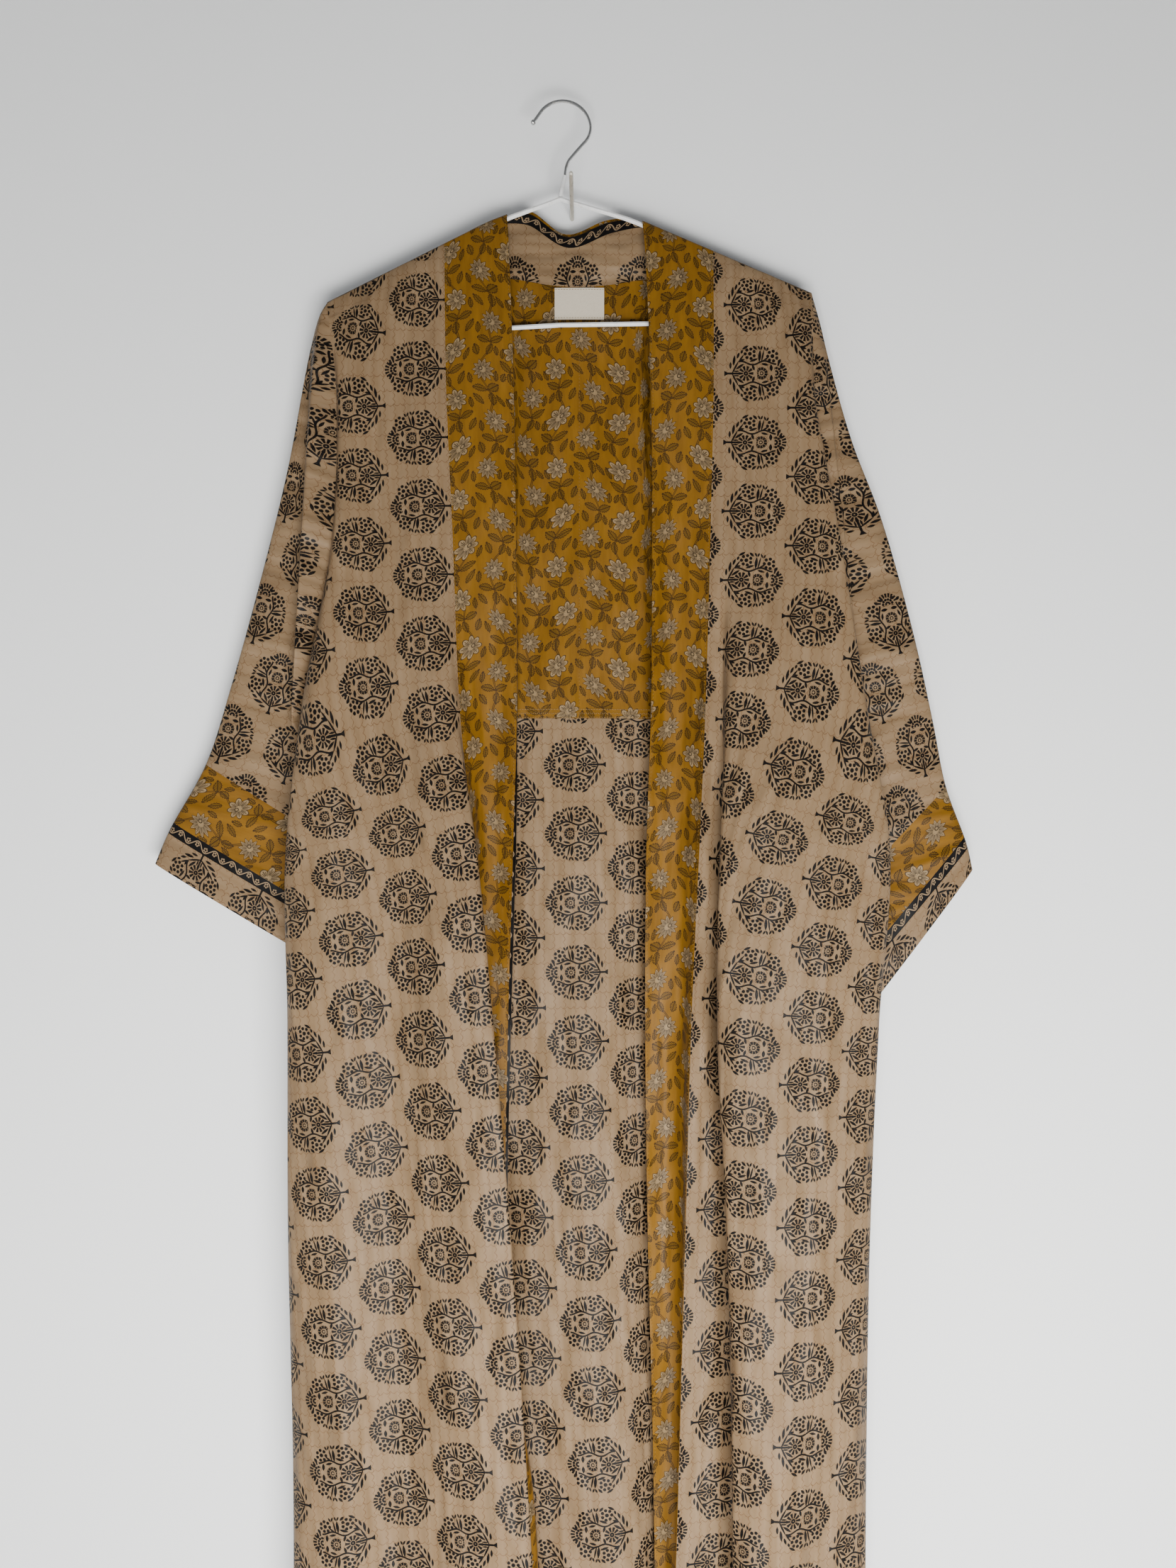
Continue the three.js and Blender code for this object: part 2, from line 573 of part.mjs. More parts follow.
// The point of the back that has a given x and z, found by halving down the cloth and across it in turn.
function backPoint(x, z) {
  const range = { u: [LEFT_NECK, RIGHT_NECK], v: [0, UNDERARM_LEVEL] };
  const find = ([low, high], tooFar) => {
    for (let i = 0; i < HALVINGS; i++) {
      const middle = (low + high) / 2;
      if (tooFar(middle)) high = middle;
      else low = middle;
    }
    return low;
  };
  let u = (LEFT_NECK + RIGHT_NECK) / 2;
  let v = 1;
  for (let round = 0; round < ROUNDS; round++) {
    v = find(range.v, (value) => backShape.at(u, value).z < z);
    u = find(range.u, (value) => backShape.at(value, v).x > x);
  }
  return backShape.at(u, v);
}

function makeLabel() {
  const rows = steps(LABEL.top, LABEL.bottom, LABEL_STEPS.down).map((z) =>
    steps(LABEL.left, LABEL.right, LABEL_STEPS.across).map((x) => backPoint(x, z)));
  const lift = LAYER + (WALL + LABEL_WALL) / 2 + 2 * SEAM_GAP;
  add("label", shell(moved(rows, -lift), LABEL_WALL), labelCloth());
}

makeLabel();

// ---- sleeves ----
// The first ring follows the armhole: down the front's side seam and up the back's.
function armholeRing(frontShape, backU, side) {
  const edge = (shape, u, gap) => {
    const down = shape.down(u);
    const points = steps(0, UNDERARM_LEVEL, 4 * UNDERARM_LEVEL)
      .map((v) => down.getPoint(v / LAST_LEVEL).add(new THREE.Vector3(side * gap, 0, 0)));
    const curve = spline(points);
    return (share) => curve.getPointAt(share);
  };
  const front = edge(frontShape, 0, WALL / 2 + ARMHOLE_GAP);
  const back = edge(backShape, backU, SEAM + ARMHOLE_GAP);
  return (turn) => {
    const angle = 2 * Math.PI * turn;
    const share = (1 - Math.cos(angle)) / 2;
    const [a, b] = [front(share), back(share)];
    const middle = a.clone().add(b).multiplyScalar(0.5);
    const ends = Math.abs(Math.sin(angle));
    if (ends < 1e-6) return new THREE.Vector3(a.x, middle.y, middle.z);
    if (turn < 0.5) return a;
    b.y = Math.max(b.y, a.y + UNDERARM_DEPTH * ends ** SLEEVE_ROUNDNESS);
    return b;
  };
}

function tableRing({ outer, inner, front, back }) {
  return (turn) => {
    const angle = 2 * Math.PI * turn;
    const share = (1 - Math.cos(angle)) / 2;
    const point = new THREE.Vector3(...outer).lerp(new THREE.Vector3(...inner), share);
    const bulge = Math.abs(Math.sin(angle)) ** SLEEVE_ROUNDNESS;
    point.y += turn < 0.5 ? -front * bulge : back * bulge;
    return point;
  };
}

function makeSleeve(side, sign, table, frontShape, backU) {
  const shape = surface([armholeRing(frontShape, backU, sign), ...table.map(tableRing)]);
  const hem = table.length;
  const cuffSeam = hem - CUFF_RINGS;
  const border = cuffSeam + CUFF_WIDTH / CUFF_TO_BORDER_END;
  const turns = steps(0, 1, AROUND).slice(0, -1);
  const piece = (name, from, to, count, ends, material) => {
    const rows = trimmed(grid(shape, turns, steps(from, to, count)), ends);
    add(name + side, shell(rows, WALL, true), material);
  };
  piece("sleeve_", 0, cuffSeam, 2 * cuffSeam, { bottom: SEAM_GAP }, printedSilk());
  piece("cuff_", cuffSeam, border, 2, { top: SEAM, bottom: SEAM }, ochreSilk());
  piece("cuff_hem_", border, hem, 2, { top: SEAM }, printedSilk());
}

makeSleeve("left", -1, LEFT_SLEEVE, frontSurfaces(LEFT_FRONT).panel, 0);
makeSleeve("right", 1, RIGHT_SLEEVE, frontSurfaces(RIGHT_FRONT).panel, BACK_LINES.length - 1);

// ---- the hanger ----
const OUTWARD = new THREE.Vector3(0, 1, 0); // square to the plane that the wire bends in
const FRAME_SIDES = 8;
const WIRE_SIDES = 10;
const FRAME_STEPS = 3; // between two points of the bent wire
const BAR_DROP = 109; // from the apex to the straight bar
// One arm of the hanger, outwards from the apex: distance out and drop. The last points turn under.
const ARM = [
  { out: 6, drop: 2 },
  { out: 54, drop: 18 },
  { out: 66, drop: 22.8 },
  { out: 178, drop: 74.9 },
  { out: 186, drop: 78.6 },
  { out: 198, drop: 89 },
  { out: 198, drop: 102 },
  { out: 187, drop: BAR_DROP },
];

function hangerPoint(out, drop) {
  const z = HANGER.apexZ - drop + out * Math.tan(HANGER.tilt);
  return new THREE.Vector3(HANGER.apexX + out, HANGER.y, z);
}

function makeHangerFrame() {
  const right = ARM.map(({ out, drop }) => hangerPoint(out, drop));
  const left = ARM.map(({ out, drop }) => hangerPoint(-out, drop)).reverse();
  const loop = spline([hangerPoint(0, 0), ...right, hangerPoint(0, BAR_DROP), ...left], true);
  const count = FRAME_STEPS * loop.points.length;
  add("hanger_frame", bar(stationsAlong(loop, count, WIRE_RADIUS, true), OUTWARD, FRAME_SIDES, true),
    metal("white_coating", 0xf4f4f2, 0.35, 0));
}

const NECK = { top: { x: -6, z: 28.5 }, gap: SEAM_GAP, stations: 4 };

function makeHangerNeck() {
  const bottom = new THREE.Vector3(HANGER.apexX, HANGER.y, HANGER.apexZ + WIRE_RADIUS + NECK.gap);
  const top = new THREE.Vector3(NECK.top.x, HANGER.y, NECK.top.z);
  const stations = stationsAlong(new THREE.LineCurve3(bottom, top), NECK.stations, WIRE_RADIUS);
  add("hanger_neck", bar(stations, OUTWARD, WIRE_SIDES),
    metal("white_coating", 0xf4f4f2, 0.35, 0));
}

const HOOK = { wire: 1.45, centreX: -8, centreZ: 69.3, radius: 24.2, turn: 152, ball: 2.4, stations: 40 };
const HOOK_TIP = { x: -32.3, z: 76.6 };
const ARC_STEPS = 8;
const BALL_STEPS = 6;
const BALL_END = 0.95 * Math.PI; // the last ring, almost at the far side of the ball
const HOOK_STEM = [ // from the neck up to the round part
  { x: -6, z: 28.8 },
  { x: -5.4, z: 34.3 },
  { x: -3.2, z: 41 },
  { x: 1.3, z: 46.8 },
  { x: 8, z: 54.5 },
  { x: 13.9, z: 61.5 },
];

// Stations of a ball of a larger radius at the end of a bar, from where it leaves the bar to its far side.
function ballStations(end, radius) {
  const start = Math.asin(end.radius / radius);
  const centre = end.at.clone().addScaledVector(end.along, radius * Math.cos(start));
  return steps(start, BALL_END, BALL_STEPS).slice(1).map((angle) => {
    const at = centre.clone().addScaledVector(end.along, -radius * Math.cos(angle));
    return { at, along: end.along, radius: radius * Math.sin(angle) };
  });
}

function makeHangerHook() {
  const point = (x, z) => new THREE.Vector3(x, HANGER.y, z);
  const stem = HOOK_STEM.map(({ x, z }) => point(x, z));
  const arc = steps(0, HOOK.turn, ARC_STEPS).map((degrees) => {
    const angle = THREE.MathUtils.degToRad(degrees);
    return point(HOOK.centreX + HOOK.radius * Math.cos(angle), HOOK.centreZ + HOOK.radius * Math.sin(angle));
  });
  const curve = spline([...stem, ...arc, point(HOOK_TIP.x, HOOK_TIP.z)]);
  const stations = stationsAlong(curve, HOOK.stations, HOOK.wire);
  const end = ballStations(stations.at(-1), HOOK.ball);
  add("hanger_hook", bar([...stations, ...end], OUTWARD, WIRE_SIDES),
    metal("bright_steel", 0xc8c8c6, 0.2, 1));
}

makeHangerFrame();
makeHangerNeck();
makeHangerHook();

// ---- the wall peg, rising a little outwards, with a rounded tip ----
const TIP_END = 75; // degrees of the rounded tip
const TIP_STEPS = 3;
const PEG_SIDES = 16;

function makePeg() {
  const along = new THREE.Vector3(0, -1, 0);
  const station = (out, radius) => ({
    at: new THREE.Vector3(0, -out, out * Math.tan(PEG.rise)), along, radius,
  });
  const body = PEG.length - PEG.radius;
  const tip = steps(0, TIP_END, TIP_STEPS).map((degrees) => {
    const angle = THREE.MathUtils.degToRad(degrees);
    return station(body + PEG.radius * Math.sin(angle), PEG.radius * Math.cos(angle));
  });
  const stations = [station(0, PEG.radius), station(body / 2, PEG.radius), ...tip];
  const sideways = new THREE.Vector3(1, 0, 0);
  add("wall_peg", bar(stations, sideways, PEG_SIDES), metal("peg_metal", 0xcfc8b8, 0.4, 0.6));
}

makePeg();

export default robe;
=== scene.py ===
# A silk kimono robe with block-printed trees, hung open on a wire hanger over a small wall peg.
# Lengths in the tables are millimetres: +X to the right seen from the front, -Y to the viewer, +Z up,
# and the origin where the peg meets the wall. Meshes are made in metres.
import math

import bmesh
import bpy
import numpy as np
from mathutils import Matrix, Vector


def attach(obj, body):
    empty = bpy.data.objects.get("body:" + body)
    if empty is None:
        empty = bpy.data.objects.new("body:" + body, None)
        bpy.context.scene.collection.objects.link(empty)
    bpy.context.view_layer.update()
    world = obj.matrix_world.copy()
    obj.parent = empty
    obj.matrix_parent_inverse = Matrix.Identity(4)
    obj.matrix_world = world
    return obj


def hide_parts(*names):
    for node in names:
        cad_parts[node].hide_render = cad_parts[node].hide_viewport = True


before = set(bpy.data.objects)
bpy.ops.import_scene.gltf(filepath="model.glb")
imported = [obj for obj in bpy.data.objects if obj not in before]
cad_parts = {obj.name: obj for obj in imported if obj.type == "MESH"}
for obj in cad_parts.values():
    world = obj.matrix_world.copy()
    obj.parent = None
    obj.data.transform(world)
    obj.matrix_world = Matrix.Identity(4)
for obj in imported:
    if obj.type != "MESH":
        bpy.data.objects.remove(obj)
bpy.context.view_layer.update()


# ---- the room ----
# A plain pale wall behind the robe and a plain pale floor below it, lit by a broad soft light low in
# front and a weaker one from the left. The wall is clear from behind, and sends no light onto the robe.
# The camera stands level, a little over a metre from the wall.
MM = 0.001
ROOM_SIZE = 6
FLOOR_Z = -1.5
WALL_GAP = 0.0015
EYE = {"place": (0.014, -1.12, -0.498), "lens": 29.16, "sensor_height": 36}


def plain_paint(name, shade):
    """A matt paint on a plane's front, clear from the plane's back."""
    paint = bpy.data.materials.new(name)
    paint.use_nodes = True
    shader = paint.node_tree.nodes["Principled BSDF"]
    shader.inputs["Base Color"].default_value = (*shade, 1)
    shader.inputs["Roughness"].default_value = 0.9
    shader.inputs["Specular IOR Level"].default_value = 0.2
    nodes, links = paint.node_tree.nodes, paint.node_tree.links
    kinds = ("NewGeometry", "BsdfTransparent", "MixShader")
    side, clear, cut = (nodes.new("ShaderNode" + kind) for kind in kinds)
    links.new(side.outputs["Backfacing"], cut.inputs["Fac"])
    links.new(shader.outputs["BSDF"], cut.inputs[1])
    links.new(clear.outputs["BSDF"], cut.inputs[2])
    links.new(cut.outputs["Shader"], nodes["Material Output"].inputs["Surface"])
    return paint


def object_of(name, bm, finish):
    """A new object of one material, from a mesh that is then done with."""
    mesh = bpy.data.meshes.new(name)
    bm.to_mesh(mesh)
    bm.free()
    mesh.materials.append(finish)
    made = bpy.data.objects.new(name, mesh)
    bpy.context.collection.objects.link(made)
    return made


def stage_plane(name, centre, turn, paint):
    bm = bmesh.new()
    place = Matrix.Translation(centre) @ Matrix.Rotation(turn, 4, "X")
    bmesh.ops.create_grid(bm, x_segments=1, y_segments=1, size=ROOM_SIZE / 2, matrix=place)
    plane = object_of(name, bm, paint)
    return plane


wall_paint = plain_paint("wall_paint", (0.93, 0.94, 0.94))
wall = stage_plane("wall", (0, WALL_GAP, 0), math.radians(90), wall_paint)
wall.visible_diffuse = False
stage_plane("floor", (0, -2.5, FLOOR_Z), 0, plain_paint("floor_paint", (0.9, 0.9, 0.89)))


def soft_light(name, place, aim, size, power, tint=(1, 1, 1)):
    lamp = bpy.data.lights.new(name, "AREA")
    lamp.shape = "RECTANGLE"
    lamp.size, lamp.size_y = size
    lamp.energy = power
    lamp.color = tint
    light = bpy.data.objects.new(name, lamp)
    light.location = place
    light.rotation_euler = (Vector(aim) - Vector(place)).to_track_quat("-Z", "Y").to_euler()
    bpy.context.collection.objects.link(light)


soft_light("window", (0.25, -1.38, -1.2), (0, 0, -1.1), (1.1, 0.55), 47, (1, 0.99, 0.97))
soft_light("fill", (-1.9, -1.2, -0.5), (-0.5, 0, -0.6), (1.4, 1.6), 8, (0.96, 0.98, 1))
world = bpy.data.worlds.new("room")
world.use_nodes = True
sky = world.node_tree.nodes["Background"].inputs
sky["Color"].default_value = (0.95, 0.97, 1, 1)
sky["Strength"].default_value = 0.22
bpy.context.scene.world = world

view = bpy.data.cameras.new("view")
view.sensor_fit = "VERTICAL"
view.sensor_height = EYE["sensor_height"]
view.lens = EYE["lens"]
camera = bpy.data.objects.new("view", view)
camera.location = EYE["place"]
camera.rotation_euler = (math.radians(90), 0, 0)
bpy.context.collection.objects.link(camera)
bpy.context.scene.camera = camera


# ---- the hanger and the peg ----
# White plastic-coated wire bent to a triangle, a bright steel hook that ends in a small ball, and a cream
# metal peg with a rounded tip. They keep their solids and get the finish of coating, plating and paint.
class Ink:
    """A socket in one material's nodes. Sums on it add Math nodes."""

    def __init__(self, tree, socket):
        self.tree = tree
        self.socket = socket

    def node(self, kind, sockets, output=0, **settings):
        made = self.tree.nodes.new("ShaderNode" + kind)
        for name, value in settings.items():
            setattr(made, name, value)
        for name, value in sockets.items():
            if isinstance(value, Ink):
                self.tree.links.new(value.socket, made.inputs[name])
            else:
                made.inputs[name].default_value = value
        return Ink(self.tree, made.outputs[output])

    def math(self, operation, *others):
        return self.node("Math", dict(enumerate((self, *others))), operation=operation)

    def __add__(self, other):
        return self.math("ADD", other)

    def __sub__(self, other):
        return self.math("SUBTRACT", other)

    def __rsub__(self, other):
        return self.node("Math", {0: other, 1: self}, operation="SUBTRACT")

    def __mul__(self, other):
        return self.math("MULTIPLY", other)

    def __truediv__(self, other):
        return self.math("DIVIDE", other)

    def __abs__(self):
        return self.math("ABSOLUTE")

    __radd__ = __add__
    __rmul__ = __mul__

    def dye(self, under, over):
        """The colour under, with over laid on it where this mask is 1."""
        layers = {"Factor": self, 6: under, 7: over}
        return self.node("Mix", layers, output=2, data_type="RGBA")

    def noise(self, scale, detail=2.0, roughness=0.5):
        settings = {"Vector": self, "Scale": scale, "Detail": detail, "Roughness": roughness}
        return self.node("TexNoise", settings)


def finish_of(name, colour, roughness, metallic=0.0):
    """A new material, its shader, and the Ink of its Object coordinates."""
    made = bpy.data.materials.new(name)
    made.use_nodes = True
    shader = made.node_tree.nodes["Principled BSDF"]
    shader.inputs["Base Color"].default_value = (*colour, 1)
    shader.inputs["Roughness"].default_value = roughness
    shader.inputs["Metallic"].default_value = metallic
    place = made.node_tree.nodes.new("ShaderNodeTexCoord").outputs["Object"]
    return made, shader, Ink(made.node_tree, place)


def feed(ink, shader, name):
    ink.tree.links.new(ink.socket, shader.inputs[name])


def bumped(height, shader, strength, distance):
    settings = {"Height": height, "Strength": strength, "Distance": distance * MM}
    feed(height.node("Bump", settings), shader, "Normal")


SPOTS = {"above": 0.56, "sharp": 6, "dull": 0.2}


def wire_finish(name, colour, roughness, metallic, worn, grain):
    """Coated or plated wire: a fine orange peel, and small dull or darker spots where it has been handled."""
    made, shader, place = finish_of(name, colour, roughness, metallic)
    spots = (place.noise(260, 3) - SPOTS["above"]) * SPOTS["sharp"]
    spots = spots.node("Clamp", {0: spots})
    feed(spots.dye((*colour, 1), (*worn, 1)), shader, "Base Color")
    feed(spots * SPOTS["dull"] + roughness, shader, "Roughness")
    bumped(place.noise(grain, 2), shader, 0.25, 0.1)
    return made


white_coating = wire_finish("white_coating", (0.84, 0.84, 0.83), 0.28, 0, (0.72, 0.71, 0.68), 900)
bright_steel = wire_finish("bright_steel", (0.66, 0.66, 0.65), 0.18, 1, (0.42, 0.41, 0.39), 1500)
peg_metal = wire_finish("peg_metal", (0.62, 0.58, 0.5), 0.34, 0.5, (0.4, 0.37, 0.32), 1200)
for node, metal in [
    ("hanger_frame", white_coating),
    ("hanger_neck", white_coating),
    ("hanger_hook", bright_steel),
    ("wall_peg", peg_metal),
]:
    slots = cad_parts[node].data.materials
    slots.clear()
    slots.append(metal)


# ---- the back ----
# One full length of printed silk from the shoulders to the hem, draped over the hanger's arms and falling
# in a soft crest and a valley. The neckline is scooped between the arms.
HANGER = {"apex_x": -10, "y": -20, "apex_z": 8.5, "tilt": math.tan(math.radians(2.1))}
ARM_SLOPE = {"inner": 0.333, "outer": 0.465, "change": 60}
OVER_WIRE = 3.5
HEIGHTS = [-155, -285, -435, -555, -700, -875, -1085, -1300]
WRAP = [0, 45, 90]
TURN = [70, 90, 110]
NECK_STEPS = [0, 3, 6, 20]
FIRST_HEIGHT = 4
UNDERARM_LEVEL = 6
LAST_LEVEL = 11
CLOTH = 0.7
ARMS_TOP = 2  # the level where the cloth leaves the hanger's arms
ROW_COUNTS = {"over_arms": 9, "shoulder": 15, "hanging": 165}
ROWS = np.concatenate([
    np.linspace(0, ARMS_TOP, ROW_COUNTS["over_arms"]),
    np.linspace(ARMS_TOP, FIRST_HEIGHT, ROW_COUNTS["shoulder"])[1:],
    np.linspace(FIRST_HEIGHT, LAST_LEVEL, ROW_COUNTS["hanging"])[1:],
])

LEFT_SEAM = {"shoulder": -211, "x": [-203, -206, -230, -232, -230, -230, -225, -226],
             "y": [-25, -27, -34, -36, -36, -34, -32, -32]}
RIGHT_SEAM = {"shoulder": 207, "x": [209, 224, 241, 256, 249, 243, 241, 241],
              "y": [-25, -28, -33, -36, -35, -33, -32, -32]}
ARMHOLE_DEPTH = [10, 12, 0.5, 0, 0, 0, 0, 0]
YOKE = 0.92
BACK = {
    "left_edge": {"shoulder": -190, "x": [-188, -190, -207, -206, -204, -204, -202, -202],
                  "y": [-13, -17, -31, -34, -34, -29, -25, -22]},
    "left_blade": {"shoulder": -155, "x": [-155, -155, -160, -160, -160, -160, -158, -158],
                   "y": [-11, -12, -21, -31, -33, -25, -18, -16]},
    "left_neck": {"shoulder": -110, "x": [-112, -113, -116, -118, -118, -118, -118, -120],
                  "y": [-11, -11, -15, -22, -26, -22, -18, -18]},
    "left_turn": {"shoulder": -106.5, "turn": True, "x": [-100, -99, -100, -101, -101, -101, -102, -104],
                  "y": [-11, -11.5, -16, -23, -26, -25, -23, -23]},
    "left_fold": {"shoulder": -92, "neck": -48, "x": [-88, -85, -84, -84, -84, -84, -86, -88],
                  "y": [-11, -12, -17, -22, -24, -26, -27, -28]},
    "left_slope": {"shoulder": -50, "neck": -58.5, "x": [-46, -45, -44, -42, -40, -38, -34, -30],
                   "y": [-11, -13, -19, -25, -29, -32, -35, -37]},
    "crest": {"shoulder": 3, "neck": -65.5, "x": [10, 14, 17, 19, 20, 28, 42, 52],
              "y": [-11, -14, -20, -28, -34, -38, -42, -44]},
    "valley": {"shoulder": 54, "neck": -60, "x": [56, 60, 66, 70, 72, 76, 84, 92],
               "y": [-11, -12, -13, -14, -14, -14, -14, -14]},
    "right_fold": {"shoulder": 100, "neck": -46, "x": [98, 100, 106, 110, 112, 114, 120, 126],
                   "y": [-11, -11, -14, -20, -24, -25, -26, -26]},
    "right_turn": {"shoulder": 118.5, "turn": True, "x": [111, 113, 120, 125, 127, 129, 134, 139],
                   "y": [-11, -11, -14, -21, -25, -25, -23, -22]},
    "right_neck": {"shoulder": 122, "x": [124, 126, 134, 140, 142, 144, 148, 152],
                   "y": [-11, -11, -15, -25, -29, -27, -22, -20]},
    "right_blade": {"shoulder": 160, "x": [158, 162, 172, 180, 178, 176, 176, 178],
                    "y": [-11, -12, -21, -32, -33, -26, -18, -16]},
    "right_edge": {"shoulder": 190, "x": [190, 198, 218, 228, 222, 217, 214, 214],
                   "y": [-13, -17, -31, -34, -34, -29, -25, -22]},
}
LEFT_NECK = 4
RIGHT_NECK = 12


def mix(a, b, share):
    return a + (b - a) * share


def shoulder_z(x):
    out = abs(x - HANGER["apex_x"])
    inner = ARM_SLOPE["inner"] * min(out, ARM_SLOPE["change"])
    outer = ARM_SLOPE["outer"] * max(out - ARM_SLOPE["change"], 0)
    return HANGER["apex_z"] - inner - outer + (x - HANGER["apex_x"]) * HANGER["tilt"]


def over_wire(x, degrees):
    angle = math.radians(degrees)
    return (x, HANGER["y"] + OVER_WIRE * math.sin(angle), shoulder_z(x) + OVER_WIRE * math.cos(angle))


HANG_Y = {-1: -26, 1: -13}
BELOW_ARMS = {"share": 0.2, "drop": 14}


def line_points(line, side):
    """The points of one line of cloth from its top to the hem. side is -1 for a front, +1 for the back."""
    points = []
    for level in range(FIRST_HEIGHT):
        if "neck" in line:
            share = NECK_STEPS[level] / (line["neck"] - HEIGHTS[0])
            x = mix(line["shoulder"], line["x"][0], share)
            points.append((x, HANG_Y[side], line["neck"] - NECK_STEPS[level]))
        elif level < len(WRAP):
            angles = TURN if line.get("turn") else WRAP
            points.append(over_wire(line["shoulder"], side * angles[level]))
        else:
            x = mix(line["shoulder"], line["x"][0], BELOW_ARMS["share"])
            points.append((x, HANG_Y[side], shoulder_z(line["shoulder"]) - BELOW_ARMS["drop"]))
    return points + list(zip(line["x"], line["y"], HEIGHTS))


TINY = 1e-4


def spline(points, at):
    """Centripetal curve through points, an array whose first axis runs along it, at places 0 to n - 1."""
    points = np.asarray(points, float)
    at = np.asarray(at, float)
    ends = [2 * points[:1] - points[1:2], points, 2 * points[-1:] - points[-2:-1]]
    points = np.concatenate(ends)
    first = np.clip(np.floor(at).astype(int), 0, len(points) - 4)
    rest = (at - first).reshape((-1,) + (1,) * (points.ndim - 1))
    p0, p1, p2, p3 = (points[first + k] for k in range(4))

    def gap(a, b):
        return np.sum((b - a) ** 2, axis=-1, keepdims=True) ** 0.25

    dt1 = gap(p1, p2)
    dt1 = np.where(dt1 < TINY, 1, dt1)
    dt0, dt2 = gap(p0, p1), gap(p2, p3)
    dt0 = np.where(dt0 < TINY, dt1, dt0)
    dt2 = np.where(dt2 < TINY, dt1, dt2)
    t1 = ((p1 - p0) / dt0 - (p2 - p0) / (dt0 + dt1) + (p2 - p1) / dt1) * dt1
    t2 = ((p2 - p1) / dt1 - (p3 - p1) / (dt1 + dt2) + (p3 - p2) / dt2) * dt1
    return (
        p1
        + t1 * rest
        + (3 * (p2 - p1) - 2 * t1 - t2) * rest**2
        + (2 * (p1 - p2) + t1 + t2) * rest**3
    )


def drape(lines, columns, rows):
    """Rows of points over a surface: columns are places across its lines, rows are places down its levels."""
    levels = spline(np.array(lines), columns).swapaxes(0, 1)
    return spline(levels, rows)


def normals(points):
    down, across = np.gradient(points, axis=0), np.gradient(points, axis=1)
    out = np.cross(across, down)
    return out / np.maximum(np.linalg.norm(out, axis=2, keepdims=True), 1e-9)


def lifted(points, distance):
    return points + normals(points) * distance


def creased(points, creases):
    """Points moved to the viewer by soft ridges and back by soft troughs, none at the side edges. A crease
    is its middle as (x, z), its length and width, its turn in degrees, and how far it stands out."""
    moved = points.copy()
    fade = np.sin(np.linspace(0, math.pi, points.shape[1])) ** 0.5
    for (x, z), long, wide, degrees, high in creases:
        run, rise = math.cos(math.radians(degrees)), math.sin(math.radians(degrees))
        dx, dz = points[:, :, 0] - x, points[:, :, 2] - z
        on, off = (dx * run + dz * rise) * 2 / long, (dz * run - dx * rise) * 2 / wide
        moved[:, :, 1] -= high * np.clip(1 - on**2, 0, 1) ** 2 * np.exp(-(off**2)) * fade
    return moved


def along(points, axis, start=0):
    """Length along one axis of rows of points, from a starting column or row."""
    step = np.linalg.norm(np.diff(points, axis=axis), axis=2)
    pad = [(1, 0) if k == axis else (0, 0) for k in range(2)]
    total = np.pad(np.cumsum(step, axis=axis), pad)
    return total - np.take(total, [start], axis=axis)


def cloth_map(points, start=0):
    """Where each point lies on the flat cloth: across the warp from the starting column, and down it. The
    weft stays square to the warp, so it leans where the cloth's columns do."""
    across = along(points, 1, start)
    warp = np.empty_like(points)
    last = len(points) - 1
    for r in range(last + 1):
        above, below = max(r - 1, 0), min(r + 1, last)
        low = max(across[above, 0], across[below, 0])
        high = min(across[above, -1], across[below, -1])
        place = np.clip(across[r], low, high)
        for k in range(3):
            upper = np.interp(place, across[above], points[above, :, k])
            warp[r, :, k] = np.interp(place, across[below], points[below, :, k]) - upper
    warp /= np.maximum(np.linalg.norm(warp, axis=2, keepdims=True), 1e-9)
    lean = np.sum(np.diff(points, axis=1) * (warp[:, 1:] + warp[:, :-1]) / 2, axis=2)
    lean = np.pad(np.cumsum(lean, axis=1), ((0, 0), (1, 0)))
    down = along(points, 0)[:, start : start + 1] + lean - lean[:, start : start + 1]
    return across, down


def cloth(name, points, flat, finish, border=None, wall=CLOTH, closed=False):
    """A piece of cloth: a grid moved to the rows of points, with its place on the flat cloth as UV."""
    rows, columns = points.shape[:2]
    bm = bmesh.new()
    bmesh.ops.create_grid(bm, x_segments=columns - 1, y_segments=rows - 1, size=0.5)
    maps = [(bm.loops.layers.uv.new("cloth"), flat)]
    if border is not None:
        maps.append((bm.loops.layers.uv.new("border"), border))
    cell = {}
    for vert in bm.verts:
        c = round((vert.co.x + 0.5) * (columns - 1))
        r = round((vert.co.y + 0.5) * (rows - 1))
        cell[vert] = (r, c)
    for edge in bm.edges:
        edge.smooth = not edge.is_boundary
    for face in bm.faces:
        face.smooth = True
        for loop in face.loops:
            r, c = cell[loop.vert]
            for layer, (u, v) in maps:
                loop[layer].uv = (u[r, c] * MM, v[r, c] * MM)
    for vert, (r, c) in cell.items():
        vert.co = points[r, c] * MM
    if closed:
        bmesh.ops.remove_doubles(bm, verts=bm.verts, dist=1e-6)
        bmesh.ops.recalc_face_normals(bm, faces=bm.faces)
        for edge in bm.edges:
            edge.smooth = not edge.is_boundary
    piece = object_of(name, bm, finish)
    thick = piece.modifiers.new("wall", "SOLIDIFY")
    thick.thickness = wall * MM
    thick.offset = 0
    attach(piece, "root")
    return piece


def sewn(node, rests_on):
    """Hides the solid that a piece of cloth stands for."""
    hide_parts(node)


# Colours are given as they look on the cloth, 0 to 255, and dyes are mixed in linear light.
def dye(red, green, blue):
    return tuple((value / 255) ** 2.2 for value in (red, green, blue)) + (1,)


INK = dye(9, 7, 8)
SILK = dye(134, 113, 88)
SILK_SHADE = dye(119, 97, 72)
SCALLOP = dye(92, 66, 42)


